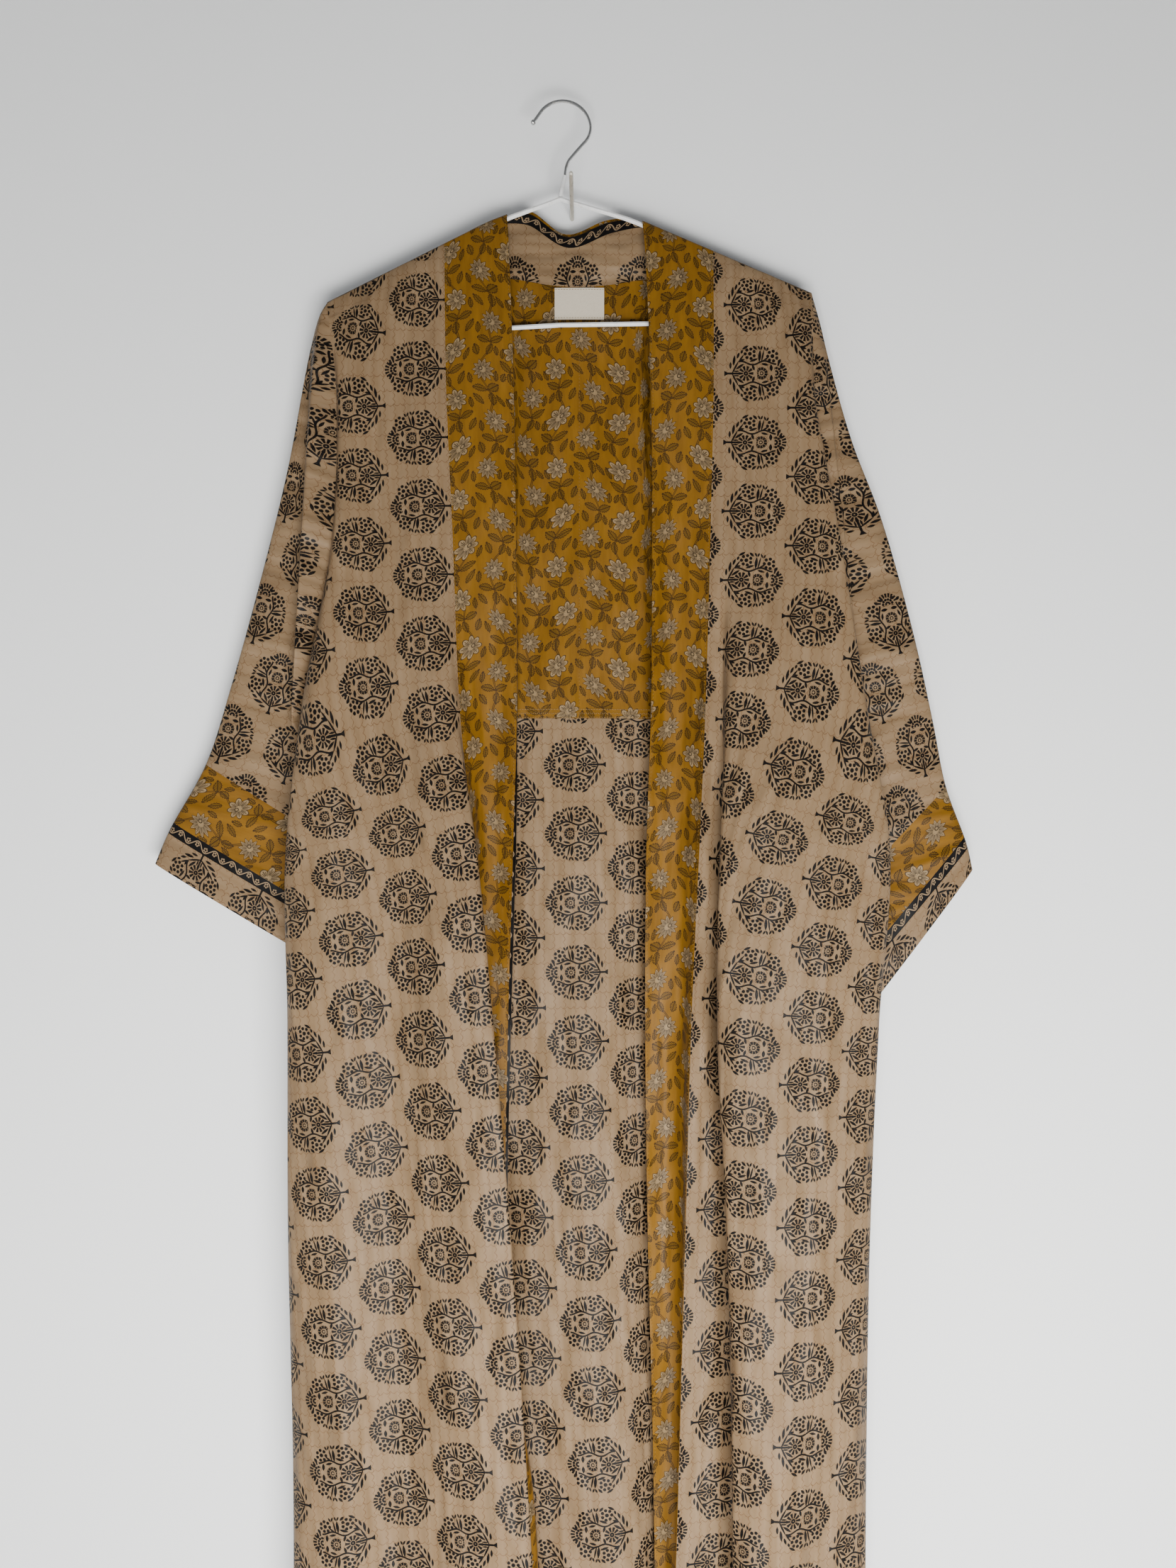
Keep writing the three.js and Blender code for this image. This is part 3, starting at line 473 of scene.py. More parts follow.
def length(x, y):
    place = x.node("CombineXYZ", {0: x, 1: y})
    return place.node("VectorMath", {0: place}, output=1, operation="LENGTH")


def placed(place, centre, degrees=0, size=(1, 1)):
    """A motif's own x and y, from its centre, how far it is turned, and how large its units are."""
    turn = {"Location": (*centre, 0), "Rotation": (0, 0, math.radians(degrees)), "Scale": (*size, 1)}
    own = place.node("Mapping", {"Vector": place, **turn}, vector_type="TEXTURE")
    return own.node("SeparateXYZ", {0: own}), own.node("SeparateXYZ", {0: own}, output=1)


def repeat(x, y, count):
    """How far round its own share a point is, -0.5 to 0.5, with count shares to the circle."""
    return (y.math("ARCTAN2", x) * (count / (2 * math.pi)) + 0.5).math("FRACT") - 0.5


def ring_of_dots(x, y, count, ring, radius):
    sideways = repeat(x, y, count) * (2 * math.pi / count * ring)
    return length(length(x, y) - ring, sideways) - radius


def wedges(x, y, count, near, far, share):
    """Petals that widen outwards, from near to far."""
    out = length(x, y)
    sideways = (abs(repeat(x, y, count)) - share) * (out * (2 * math.pi / count))
    return (abs(out - (near + far) / 2) - (far - near) / 2).math("MAXIMUM", sideways)


def leaf(place, centre, long, wide, degrees):
    """A leaf or stem pointed at both ends."""
    u, v = placed(place, centre, degrees, (long / 2, wide / 2))
    return (abs(v) + u * u - 1) * (wide / 2)


def nearest(shapes):
    found = shapes[0]
    for shape in shapes[1:]:
        found = found.math("MINIMUM", shape)
    return found


def printed(shape, soft=0.3):
    """1 inside a shape and 0 outside, over a soft edge."""
    scale = {0: shape, 1: -1 / soft, 2: 0.5}
    return shape.node("Math", scale, operation="MULTIPLY_ADD", use_clamp=True)


# Half of the tree, above its stem: the leaves and stems as (x, y), length, width and turn in degrees.
TREE_LEAVES = [
    ((19.6, 1.9), 4.6, 0.9, 0), ((20.7, 5), 11.6, 1.1, 118), ((16.6, 5.9), 7.6, 1.7, 146),
    ((15.4, 13), 7, 1.0, 127), ((14.8, 11.4), 4.6, 1.5, 165), ((21.5, 11.2), 8.2, 1.9, 98),
    ((18, 15.4), 5.2, 1.6, 112), ((24.7, 6.9), 5.4, 1.5, 92), ((14.8, 18.6), 3.2, 1.5, 112),
    ((11.6, 22.3), 5.8, 1.6, 151), ((3.3, 21.8), 4.4, 1.7, 45), ((-0.3, 21.6), 3.4, 1.1, 62),
    ((-2.5, 21.5), 3.2, 1.1, 112), ((-5.3, 20.7), 3.4, 1.1, 70), ((-7.5, 20.1), 3.2, 1.1, 122),
    ((-0.6, 14.6), 9.4, 2.1, 96), ((4.6, 11.3), 6.8, 1.6, 161), ((-3.2, 14.4), 9.6, 1.0, 104),
    ((-5.4, 11.6), 6.4, 1.0, 148), ((5, 5), 4.8, 1.7, 72), ((-5, 7.5), 5.6, 1.5, 14),
    ((-10.3, 4.4), 5.4, 2.2, 88), ((-17.4, 9.4), 4, 2.1, 128), ((-19, 4.9), 3.6, 1.8, 112),
]
TREE_FLOWERS = [(7.8, 16.8), (-11.6, 14.1)]
TREE_MIDDLES = {"wheel": 11.4, "comb": -2.0, "fan": -14.3}
INK_SPREAD = 0.26


def tree(x, y):
    """A round tree, its stem's foot at +x, the same on either side of the stem. Up the stem it has a wheel
    of petals, half a toothed rosette and a fan of dots and rays. Millimetres."""
    y = abs(y)
    place = x.node("CombineXYZ", {0: x, 1: y})
    wheel, comb, fan = (x - middle for middle in TREE_MIDDLES.values())
    comb_out, fan_out = length(comb, y), length(fan, y)
    flare = (x - 27.2).math("MAXIMUM", 0) * 0.55 + 0.6
    teeth = abs(repeat(comb, y, 26)) * 1.5
    cuts = (abs(repeat(comb, y, 11)) - 0.34) * 2.6
    shapes = [
        (abs(x - 23.4) - 6.4).math("MAXIMUM", y - flare),
        wedges(wheel, y, 10, 2.7, 6.2, 0.24),
        abs(length(wheel, y) - 1.2) - 0.55,
        (abs(comb_out - 4.3 + teeth) - 1.1).math("MAXIMUM", comb - 3.4).math("MAXIMUM", cuts),
        (abs(comb_out - 1.3) - 0.2).math("MAXIMUM", comb - 1.1),
        (abs(fan_out - 1.6) - 0.6).math("MAXIMUM", fan - 0.4),
        ring_of_dots(fan, y, 11, 4.1, 0.9).math("MAXIMUM", fan - 1),
        wedges(fan, y, 20, 6.2, 9.4, 0.22).math("MAXIMUM", fan + 1.6),
        *[leaf(place, *row) for row in TREE_LEAVES],
    ]
    for centre in TREE_FLOWERS:
        dx, dy = x - centre[0], y - centre[1]
        shapes.append(ring_of_dots(dx, dy, 7, 4.05, 1.12))
        shapes.append(length(dx, dy) - 1.4)
    vine = abs(y - 8.9 - ((x - 10.5) * (math.pi / 10)).math("SINE") * 1.5) - 0.5
    shapes.append(vine.math("MAXIMUM", abs(x - 1.4) - 15.8))
    return nearest(shapes) - INK_SPREAD


TREE_PITCH = (54.0, 59.4)
STEM_REACH = 3.0  # how much further the stem reaches than the crown, from the middle of its column


def mapped(ink, name):
    """A UV map of the piece in millimetres, as two values."""
    place = ink.node("UVMap", {}, uv_map=name)
    parts = {0: place}
    x = place.node("SeparateXYZ", parts)
    y = place.node("SeparateXYZ", parts, output=1)
    return x * 1000, y * 1000


def trees_over(x, y):
    """Trees in columns, each column dropped half a tree against the next."""
    column = ((x - STEM_REACH) * (1 / TREE_PITCH[0]) + 0.5).math("FLOOR")
    drop = (column * 0.5).math("FRACT") + 0.5
    down = (y * (1 / TREE_PITCH[1]) + drop).math("FRACT") - 0.5
    return tree(x - column * TREE_PITCH[0], down * TREE_PITCH[1])


SCALLOPS = {"arch": 5.6, "rise": 1.9, "rows": 12.6, "columns": 8.8, "thick": 0.5}


def scallops(x, y):
    """Fine scalloped lines across and down the ground."""
    arch_x = abs((x * (math.pi / SCALLOPS["arch"])).math("SINE")) * SCALLOPS["rise"]
    arch_y = abs((y * (math.pi / SCALLOPS["arch"])).math("SINE")) * SCALLOPS["rise"]
    across = ((y - arch_x) * (1 / SCALLOPS["rows"]) + 0.5).math("FRACT") - 0.5
    down = ((x - arch_y) * (1 / SCALLOPS["columns"]) + 0.5).math("FRACT") - 0.5
    line = (abs(across) * SCALLOPS["rows"]).math("MINIMUM", abs(down) * SCALLOPS["columns"])
    return line - SCALLOPS["thick"] / 2


SCROLL = {"wave": 17.4, "wide": 10.0, "sway": 3.2, "thick": 0.4}


def scroll(along_it, across_it):
    """The dark border: a running stem that sways from side to side, and a flower in each of its bends."""
    half = SCROLL["wave"] / 2
    turn = along_it * (math.pi / half)
    slope = turn.math("COSINE") * (SCROLL["sway"] * math.pi / half)
    middle = across_it - SCROLL["wide"] / 2
    off_stem = abs(middle - turn.math("SINE") * SCROLL["sway"])
    stem = off_stem / (slope * slope + 1).math("SQRT") - SCROLL["thick"]
    step = (along_it * (1 / half)).math("FLOOR")
    side = 1 - (step * 0.5).math("FRACT") * 4
    flower = ring_of_dots(along_it - (step + 0.5) * half, middle * side - 0.3, 5, 1.4, 0.7)
    return stem.math("MINIMUM", flower)


THREAD_PITCH = {"warp": 0.42, "weft": 0.5}


def thread(x, y, place):
    """Height of the weave: fine crossed threads with slubs, under a slightly uneven hand."""
    warp = (x * (2 * math.pi / THREAD_PITCH["warp"])).math("SINE")
    weft = (y * (2 * math.pi / THREAD_PITCH["weft"])).math("SINE")
    slub = place.node("CombineXYZ", {0: x * 0.35, 1: y * 3.2}).noise(1.0, 3)
    return (warp + weft) * 0.16 + slub


RIPPLE = {"across": 0.028, "down": 0.009, "deep": 18 * MM}


def silk(name, ground, shaded, print_on):
    """Printed silk: its ground, the print laid on it, a soft sheen, and the bump of ripples and threads."""
    made, shader, place = finish_of(name, ground[:3], 0.5)
    x, y = mapped(place, "cloth")
    streaks = place.node("CombineXYZ", {0: x * 0.12, 1: y * 0.02}).noise(1.0, 4, 0.6)
    tone = (streaks - 0.36) * 2.4
    tone = tone.node("Clamp", {0: tone})
    colour = print_on(x, y, tone.dye(shaded, ground), place)
    feed(colour, shader, "Base Color")
    feed(tone * -0.1 + 0.56, shader, "Roughness")
    ripple = place.node("CombineXYZ", {0: x * RIPPLE["across"], 1: y * RIPPLE["down"]}).noise(1.0, 2)
    rippled = place.node("Bump", {"Height": ripple, "Strength": 0.8, "Distance": RIPPLE["deep"]})
    threads = {"Height": thread(x, y, place), "Strength": 0.35, "Distance": 0.12 * MM, "Normal": rippled}
    feed(place.node("Bump", threads), shader, "Normal")
    shader.inputs["Sheen Weight"].default_value = 0.03
    shader.inputs["Sheen Roughness"].default_value = 0.4
    shader.inputs["Specular IOR Level"].default_value = 0.16
    return made


def tree_print(x, y, ground, place, first_row=None):
    """Trees on scalloped silk, worn through here and there, with no ink before first_row."""
    faint = printed(scallops(x, y), 0.5) * place.noise(420, 2) * 1.6
    ground = faint.dye(ground, SCALLOP)
    worn = place.noise(700, 3) * 0.4 + 0.8
    trees = trees_over(x, y)
    if first_row is not None:
        trees = trees.math("MAXIMUM", first_row - x)
    return (printed(trees) * worn.math("MINIMUM", 1)).dye(ground, INK)


def bordered_print(x, y, ground, place):
    colour = tree_print(x, y, ground, place, STEM_REACH - TREE_PITCH[0] / 2)
    along_it, across_it = mapped(place, "border")
    strip = printed(abs(across_it - SCROLL["wide"] / 2) - SCROLL["wide"] / 2)
    colour = strip.dye(colour, INK)
    return (printed(scroll(along_it, across_it)) * strip).dye(colour, SILK)


tree_silk = silk("tree_silk", SILK, SILK_SHADE, tree_print)
bordered_silk = silk("bordered_silk", SILK, SILK_SHADE, bordered_print)


def back_lines():
    def seam(front):
        y = [value + deeper for value, deeper in zip(front["y"], ARMHOLE_DEPTH)]
        return {"shoulder": front["shoulder"], "x": front["x"], "y": y}

    def yoke(a, b):
        both = {key: [mix(p, q, YOKE) for p, q in zip(BACK[a][key], BACK[b][key])] for key in "xy"}
        return {"shoulder": mix(BACK[a]["shoulder"], BACK[b]["shoulder"], YOKE), **both}

    lines = [seam(LEFT_SEAM), *BACK.values(), seam(RIGHT_SEAM)]
    lines.insert(3, yoke("left_blade", "left_neck"))
    lines.insert(13, yoke("right_blade", "right_neck"))
    return [line_points(line, 1) for line in lines]


BACK_LINES = back_lines()
BACK_COLUMNS = np.linspace(0, len(BACK_LINES) - 1, 10 * (len(BACK_LINES) - 1) + 1)
MAIN_COLUMN = 77  # the column of cloth down which the middle trees run
MAIN_TREE_DROP = 600
back_points = drape(BACK_LINES, BACK_COLUMNS, ROWS)
across, down = cloth_map(back_points, MAIN_COLUMN)
middle_tree = np.interp(MAIN_TREE_DROP, -back_points[:, MAIN_COLUMN, 2], down[:, MAIN_COLUMN])
BACK_CREASES = [
    ((-30, -640), 380, 30, 92, 2.0), ((44, -560), 260, 22, 88, -1.6), ((-52, -890), 420, 34, 87, -2.4),
    ((20, -1010), 460, 30, 94, 2.2), ((170, -760), 520, 36, 90, 2.4), ((-165, -850), 480, 34, 91, 2.2),
]
back_flat = (across, down - middle_tree)
back = cloth("back_silk", creased(back_points, BACK_CREASES), back_flat, tree_silk)
sewn("back", ["hanger_frame"])


# ---- the lining and the label ----
# Inside the back, from the neck to just below the underarms, lies a lining of ochre print whose lower edge
# is overlocked. A plain woven label is stitched on it under the neck seam.
OCHRE = dye(124, 88, 27)
OCHRE_SHADE = dye(106, 74, 20)
PETAL = dye(134, 115, 87)
OLIVE = dye(88, 67, 18)
OUTLINE = dye(30, 21, 13)
VINE_PITCH = (27.0, 43.0)
FLOWER = {"y": -10.5, "reach": 9.8, "petals": 8}
# The leaves round one flower: (x, y), length, width and turn in degrees.
VINE_LEAVES = [
    ((-7, 3.2), 12.5, 5.8, 38), ((4.4, 5.6), 12.5, 5.6, -12), ((-3.4, 13.4), 11, 5.2, 78),
    ((8.4, 15.2), 11, 5, -58), ((11.2, -3.8), 9.5, 4, 98), ((-11.2, -7.5), 9, 4, 82),
    ((-9.6, 13.2), 8.5, 3.8, 116),
]
VINE_WANDER = {"far": 4.6, "over": (71.0, 93.0)}


def floral(x, y):
    """Flowers, leaves and stems of the ochre print: the petals, the leaves, and the dark lines."""
    over_x, over_y = VINE_WANDER["over"]
    wander = (y * (2 * math.pi / over_y)).math("SINE") * VINE_WANDER["far"]
    y = y + (x * (2 * math.pi / over_x)).math("SINE") * VINE_WANDER["far"]
    x = x + wander
    column = (x * (1 / VINE_PITCH[0]) + 0.5).math("FLOOR")
    odd = (column * 0.5).math("FRACT") * 2
    x = (x - column * VINE_PITCH[0]) * (1 - odd * 2)
    y = (y * (1 / VINE_PITCH[1]) + odd * 0.5).math("FRACT") * VINE_PITCH[1] - VINE_PITCH[1] / 2
    place = x.node("CombineXYZ", {0: x, 1: y})
    fy = y - FLOWER["y"]
    count = odd * 3 + FLOWER["petals"]
    out = length(x, fy) + x * 0.1
    share = abs(repeat(x, fy, count)) * 2
    sideways = share * out * (math.pi / FLOWER["petals"])
    petals = out - FLOWER["reach"] + share * (share * (1 - odd) + odd) * 4.2
    heart_out = length(x - 1.6, fy + 0.8)
    stem = abs(abs(x + (y * (2 * math.pi / VINE_PITCH[1])).math("SINE") * 3.4) - 0.55) - 0.2
    leaves, lines = [], [stem]
    for row in VINE_LEAVES:
        centre, long, wide, degrees = row
        u, v = placed(place, centre, degrees)
        notch = (u * 3.2).math("SINE") * 0.3
        edge = leaf(place, *row) + notch
        hatch = abs((u * 0.62 + abs(v) * 0.62).math("FRACT") - 0.5) - 0.08
        leaves.append(edge)
        lines.append(abs(edge) - 0.3)
        lines.append((abs(v) - 0.26).math("MINIMUM", hatch).math("MAXIMUM", edge))
    lines = [nearest(lines).math("MAXIMUM", petals * -1)]
    lines.append(abs(petals) - 0.34)
    lines.append((sideways - 0.24).math("MAXIMUM", abs(out - 5.4) - 2.6))
    lines.append((abs(sideways - out * 0.17) - 0.18).math("MAXIMUM", abs(out - 4.8) - 1.9))
    lines.append((0.94 - share).math("MAXIMUM", abs(out - 4.6) - 2.8))
    lines.append(abs(heart_out - 1.5) - 0.36)
    return petals, nearest(leaves), nearest(lines) - 0.08


def vine_print(x, y, ground, place):
    petals, leaves, lines = floral(x, y)
    worn = place.noise(900, 2) * 0.5 + 0.6
    colour = (printed(leaves) * 0.4).dye(ground, OLIVE)
    colour = (printed(petals) * worn.math("MINIMUM", 1)).dye(colour, PETAL)
    return (printed(lines, 0.4) * 0.86).dye(colour, OUTLINE)


vine_silk = silk("vine_silk", OCHRE, OCHRE_SHADE, vine_print)

LINING = {"off": 1.25, "arms": 2.85, "hem": UNDERARM_LEVEL + 6 / 120, "from": 5, "to": 155}
LINING_ROWS = 90
LINING_PRINT = (6, 4)
lining_columns = BACK_COLUMNS[LINING["from"] : LINING["to"] + 1]
lining_levels = []
for u in lining_columns:
    past_fold = min(max(min(u - LEFT_NECK, RIGHT_NECK - u) - 2, 0), 1)
    top = mix(LINING["arms"], 0.02, past_fold)
    lining_levels.append(np.linspace(top, LINING["hem"], LINING_ROWS))
levels_across = spline(np.array(BACK_LINES), lining_columns)
lining_points = np.stack([spline(c, v) for c, v in zip(levels_across, lining_levels)], axis=1)
lining_points = lifted(lining_points, -LINING["off"])
across = cloth_map(lining_points, MAIN_COLUMN - LINING["from"])[0]
lining_map = (across + LINING_PRINT[0], LINING_PRINT[1] - lining_points[:, :, 2])
lining = cloth("lining_silk", lining_points, lining_map, vine_silk)
sewn("back_lining", ["back_silk"])

STITCH = {"long": 2.0, "thick": 0.27}


def stitch_places(line, pitch):
    """Evenly spaced points on a line of points, and the line's direction at each."""
    line = np.asarray(line)
    reach = np.concatenate([[0], np.cumsum(np.linalg.norm(np.diff(line, axis=0), axis=1))])
    places = np.arange(pitch / 2, reach[-1], pitch)
    points = np.stack([np.interp(places, reach, line[:, k]) for k in range(3)], axis=1)
    ahead = np.stack([np.interp(places + 0.5, reach, line[:, k]) for k in range(3)], axis=1)
    behind = np.stack([np.interp(places - 0.5, reach, line[:, k]) for k in range(3)], axis=1)
    return points, ahead - behind


def stitches(name, line, pitch, finish, out, long=STITCH["long"], lean=0.0):
    """A row of thread stitches, each a small tapered bead of thread lying on the cloth."""
    bm = bmesh.new()
    points, ways = stitch_places(line, pitch)
    outward = Vector(out)
    for count, (point, way) in enumerate(zip(points, ways)):
        way = Vector(way).normalized()
        side = way.cross(outward).normalized()
        way = (way + side * lean * (1 if count % 2 else -1)).normalized()
        turn = Matrix((side, way, side.cross(way))).transposed().to_4x4()
        size = Matrix.Diagonal((STITCH["thick"] * MM, long / 2 * MM, STITCH["thick"] * MM, 1))
        place = Matrix.Translation(Vector(point) * MM)
        bmesh.ops.create_icosphere(bm, subdivisions=1, radius=1, matrix=place @ turn @ size)
    for face in bm.faces:
        face.smooth = True
    row = object_of(name, bm, finish)
    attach(row, "root")
    return row


def thread_finish(name, colour):
    made, shader, place = finish_of(name, colour[:3], 0.6)
    twist = place.noise(2600, 1)
    feed(twist.dye(colour, (*[0.6 * c for c in colour[:3]], 1)), shader, "Base Color")
    bumped(twist, shader, 0.3, 0.1)
    return made


pale_thread = thread_finish("pale_thread", dye(150, 122, 78))
gold_thread = thread_finish("gold_thread", dye(128, 94, 30))
TO_VIEWER = (0, -1, 0)
OVERLOCK_LONG = 2.3
# The rows of the overlock: how many rows of the lining up from its edge, the pitch, and the lean.
OVERLOCK = {
    "overlock_upper": (0.9, 2.3, 0.0),
    "overlock_zigzag": (0.5, 1.7, 1.1),
    "overlock_edge": (0.1, 2.3, 0.0),
}
over_lining = lifted(lining_points, -0.5)
for name, (up, pitch, lean) in OVERLOCK.items():
    line = spline(over_lining[::-1], [up])[0]
    stitches(name, line, pitch, pale_thread, TO_VIEWER, OVERLOCK_LONG, lean)

CENTRE_SEAM = {"x": 6.4, "first_row": 12, "first_column": 40, "last_column": -40, "pitch": 3.0}
seam = []
for row in over_lining[CENTRE_SEAM["first_row"] :]:
    row = row[CENTRE_SEAM["first_column"] : CENTRE_SEAM["last_column"]]
    seam.append([np.interp(CENTRE_SEAM["x"], row[:, 0], row[:, k]) for k in range(3)])
stitches("lining_seam", seam, CENTRE_SEAM["pitch"], gold_thread, TO_VIEWER)

LABEL = {"left": -15, "right": 28, "top": -66.5, "bottom": -94, "off": 2.1, "bow": 0.3}
LABEL_COUNTS = (30, 20)


def label_finish():
    """Plain woven label: fine ribs across, slightly uneven."""
    made, shader, place = finish_of("label_cloth", dye(206, 196, 176)[:3], 0.8)
    x, y = mapped(place, "cloth")
    ribs = (y * (2 * math.pi / 0.55)).math("SINE") * 0.5 + 0.5
    ribs = ribs * 0.35 + place.noise(800, 2) * 0.5
    feed(ribs.dye(dye(210, 200, 182), dye(184, 170, 146)), shader, "Base Color")
    bumped(ribs, shader, 0.4, 0.2)
    return made


label_across = np.linspace(LABEL["left"], LABEL["right"], LABEL_COUNTS[0])
label_down = np.linspace(LABEL["top"], LABEL["bottom"], LABEL_COUNTS[1])
behind = lifted(back_points, -LABEL["off"])[ROW_COUNTS["over_arms"] - 1 :]
behind = behind[:, LEFT_NECK * 10 : RIGHT_NECK * 10 + 1]
label_points = np.empty((len(label_down), len(label_across), 3))
for r, z in enumerate(label_down):
    level = np.array([[np.interp(-z, -line[:, 2], line[:, k]) for k in range(2)]
                      for line in behind.swapaxes(0, 1)])
    for c, x in enumerate(label_across):
        label_points[r, c] = [x, np.interp(x, level[:, 0], level[:, 1]), z]
label_points[:, :, 1] -= LABEL["bow"] * np.sin(np.linspace(0, math.pi, LABEL_COUNTS[0]))
label_map = np.meshgrid(label_across, -label_down)
label = cloth("neck_label", label_points, label_map, label_finish(), wall=0.5)
sewn("label", ["lining_silk"])
for name, row in [("label_stitches_top", 1), ("label_stitches_bottom", -2)]:
    line = label_points[row] - (0, 0.45, 0)
    stitches(name, line, 2.4, pale_thread, TO_VIEWER, 1.6)


# ---- the neckband behind the neck ----
# The ochre band stands up from the neckline between the hanger's arms and rolls a little forwards. Its
# printed facing lies inside, with the dark scroll border just under the band's top edge.
NECK_EDGE = [(-56, 0), (-54.5, 70), (-50, -14.5, -1.5), (-36, -13.5, 0.5), (-5, -13.5, -19.5), (30, -13, -7),
             (53, -14.5, -6), (59.5, 70), (61, 0)]
NECK_ROWS = 4
NECK_ROLL = -2
NECK_FINE = (25, 81)
FACING = {"off": 1.15, "setback": 3.2, "from": 13, "to": 67}
FACING_TREE = {"x": 5, "z": -63, "stretch": 1.09}


def neck_lines():
    neckline = spline(np.array(BACK_LINES)[:, 0], np.arange(LEFT_NECK, RIGHT_NECK + 1.0))
    shoulders = [points[0][0] for points in BACK_LINES]
    lines = []
    for i, edge_point in enumerate(NECK_EDGE):
        line = [neckline[i]]
        for row in range(1, NECK_ROWS + 1):
            share = row / NECK_ROWS
            if len(edge_point) == 2:
                line.append(over_wire(mix(shoulders[LEFT_NECK + i], edge_point[0], share), edge_point[1]))
            else:
                point = mix(neckline[i], np.array(edge_point, float), share)
                line.append(point + (0, NECK_ROLL * math.sin(math.pi * share), 0))
        lines.append(line)
    return np.array(lines)


neck_rows = np.linspace(0, NECK_ROWS, NECK_FINE[0])
neck_points = drape(neck_lines(), np.linspace(0, len(NECK_EDGE) - 1, NECK_FINE[1]), neck_rows)
band_map = (along(neck_points, 0) + 3, along(neck_points, 1))
neckband = cloth("neckband_back_silk", neck_points, band_map, vine_silk)
sewn("neckband_back", ["hanger_frame"])

facing_points = lifted(neck_points, FACING["off"])[:, FACING["from"] : FACING["to"] + 1]
top = along(facing_points[::-1], 0)[::-1]
keep = 1 - FACING["setback"] / np.maximum(top[0], 1)
rows = np.arange(NECK_FINE[0])
facing_points = np.stack([spline(facing_points[:, c], rows * k) for c, k in enumerate(keep)], axis=1)
from_top = along(facing_points[::-1], 0)[::-1]
run = along(facing_points, 1)
facing_across = (facing_points[:, :, 0] - FACING_TREE["x"]) * FACING_TREE["stretch"]
facing_map = (FACING_TREE["z"] - facing_points[:, :, 2], facing_across)
facing = cloth("facing_back_silk", facing_points, facing_map, bordered_silk, border=(run, from_top))
sewn("facing_back", ["neckband_back_silk"])


# ---- the fronts, their neckbands and the left facing ----
# Two full lengths of printed silk over the shoulders, each sewn to an ochre band, 54 mm wide, down its front
# edge. Inside the left band its printed facing shows as a dark line that rolls out below the lining.
BAND_WIDTH = 54
BOW_SHARE = 0.36
LEFT_FRONT = [
    LEFT_SEAM,
    {"shoulder": -207, "x": [-200, -202, -226, -240, -238, -238, -234, -234],
     "y": [-29, -35, -50, -52, -54, -52, -50, -50]},
    {"shoulder": -196, "x": [-190, -190, -198, -204, -202, -198, -194, -190],
     "y": [-30, -38, -56, -66, -70, -72, -72, -74]},
    {"shoulder": -172, "x": [-172, -174, -170, -160, -150, -148, -146, -144],
     "y": [-27, -31, -42, -54, -61, -60, -60, -62]},
    {"shoulder": -142, "x": [-139, -136, -124, -108, -98, -88, -78, -68],
     "y": [-29, -36, -51, -70, -79, -82, -82, -82]},
    {"shoulder": -120, "x": [-117, -112, -99, -79, -64, -49, -35, -23],
     "y": [-29, -34, -48, -70, -80, -84, -86, -88]},
    {"shoulder": -110, "x": [-108, -102, -95, -82, -71, -60, -46, -34],
     "y": [-28, -32, -42, -56, -63, -64, -64, -66]},
    {"shoulder": -56, "x": [-50, -48, -47, -50, -54, -57, -56, -50],
     "y": [-29, -30, -32, -36, -40, -38, -38, -38]},
]
RIGHT_FRONT = [
    RIGHT_SEAM,
    {"shoulder": 203, "x": [206, 228, 249, 267, 258, 251, 248, 247],
     "y": [-31, -38, -50, -55, -54, -52, -50, -50]},
    {"shoulder": 190, "x": [192, 200, 212, 220, 214, 210, 208, 208],
     "y": [-32, -42, -57, -68, -72, -72, -72, -74]},
    {"shoulder": 170, "x": [170, 172, 172, 168, 160, 162, 164, 166],
     "y": [-30, -38, -55, -72, -81, -83, -85, -86]},
    {"shoulder": 146, "x": [143, 141, 133, 125, 122, 130, 134, 134],
     "y": [-29, -35, -47, -59, -67, -69, -72, -74]},
    {"shoulder": 134, "x": [132, 131, 128, 131, 131, 139, 142, 144],
     "y": [-29, -33, -37, -40, -39, -41, -44, -46]},
    {"shoulder": 122, "x": [122, 119, 114, 108, 101, 96, 90, 83],
     "y": [-28, -31, -38, -46, -50, -52, -54, -55]},
    {"shoulder": 61, "x": [68, 69, 68, 64, 63, 65, 70, 72],
     "y": [-29, -30, -31, -32, -32, -32, -32, -32]},
]


def band_lines(seam, free):
    """The band between its seam and its free edge. Where they come close its middle bows to the back."""
    lines = [seam]
    for share in (1 / 3, 2 / 3):
        xs, ys = [], []
        for x0, y0, x1, y1 in zip(seam["x"], seam["y"], free["x"], free["y"]):
            chord = math.hypot(x1 - x0, y1 - y0)
            bow = BOW_SHARE * math.sqrt(max(BAND_WIDTH**2 - chord**2, 0))
            side = (-(y1 - y0) / chord, (x1 - x0) / chord)
            if side[1] < 0:
                side = (-side[0], -side[1])
            xs.append(mix(x0, x1, share) + side[0] * bow)
            ys.append(mix(y0, y1, share) + side[1] * bow)
        lines.append({"shoulder": mix(seam["shoulder"], free["shoulder"], share), "x": xs, "y": ys})
    return [line_points(line, -1) for line in [*lines, free]]


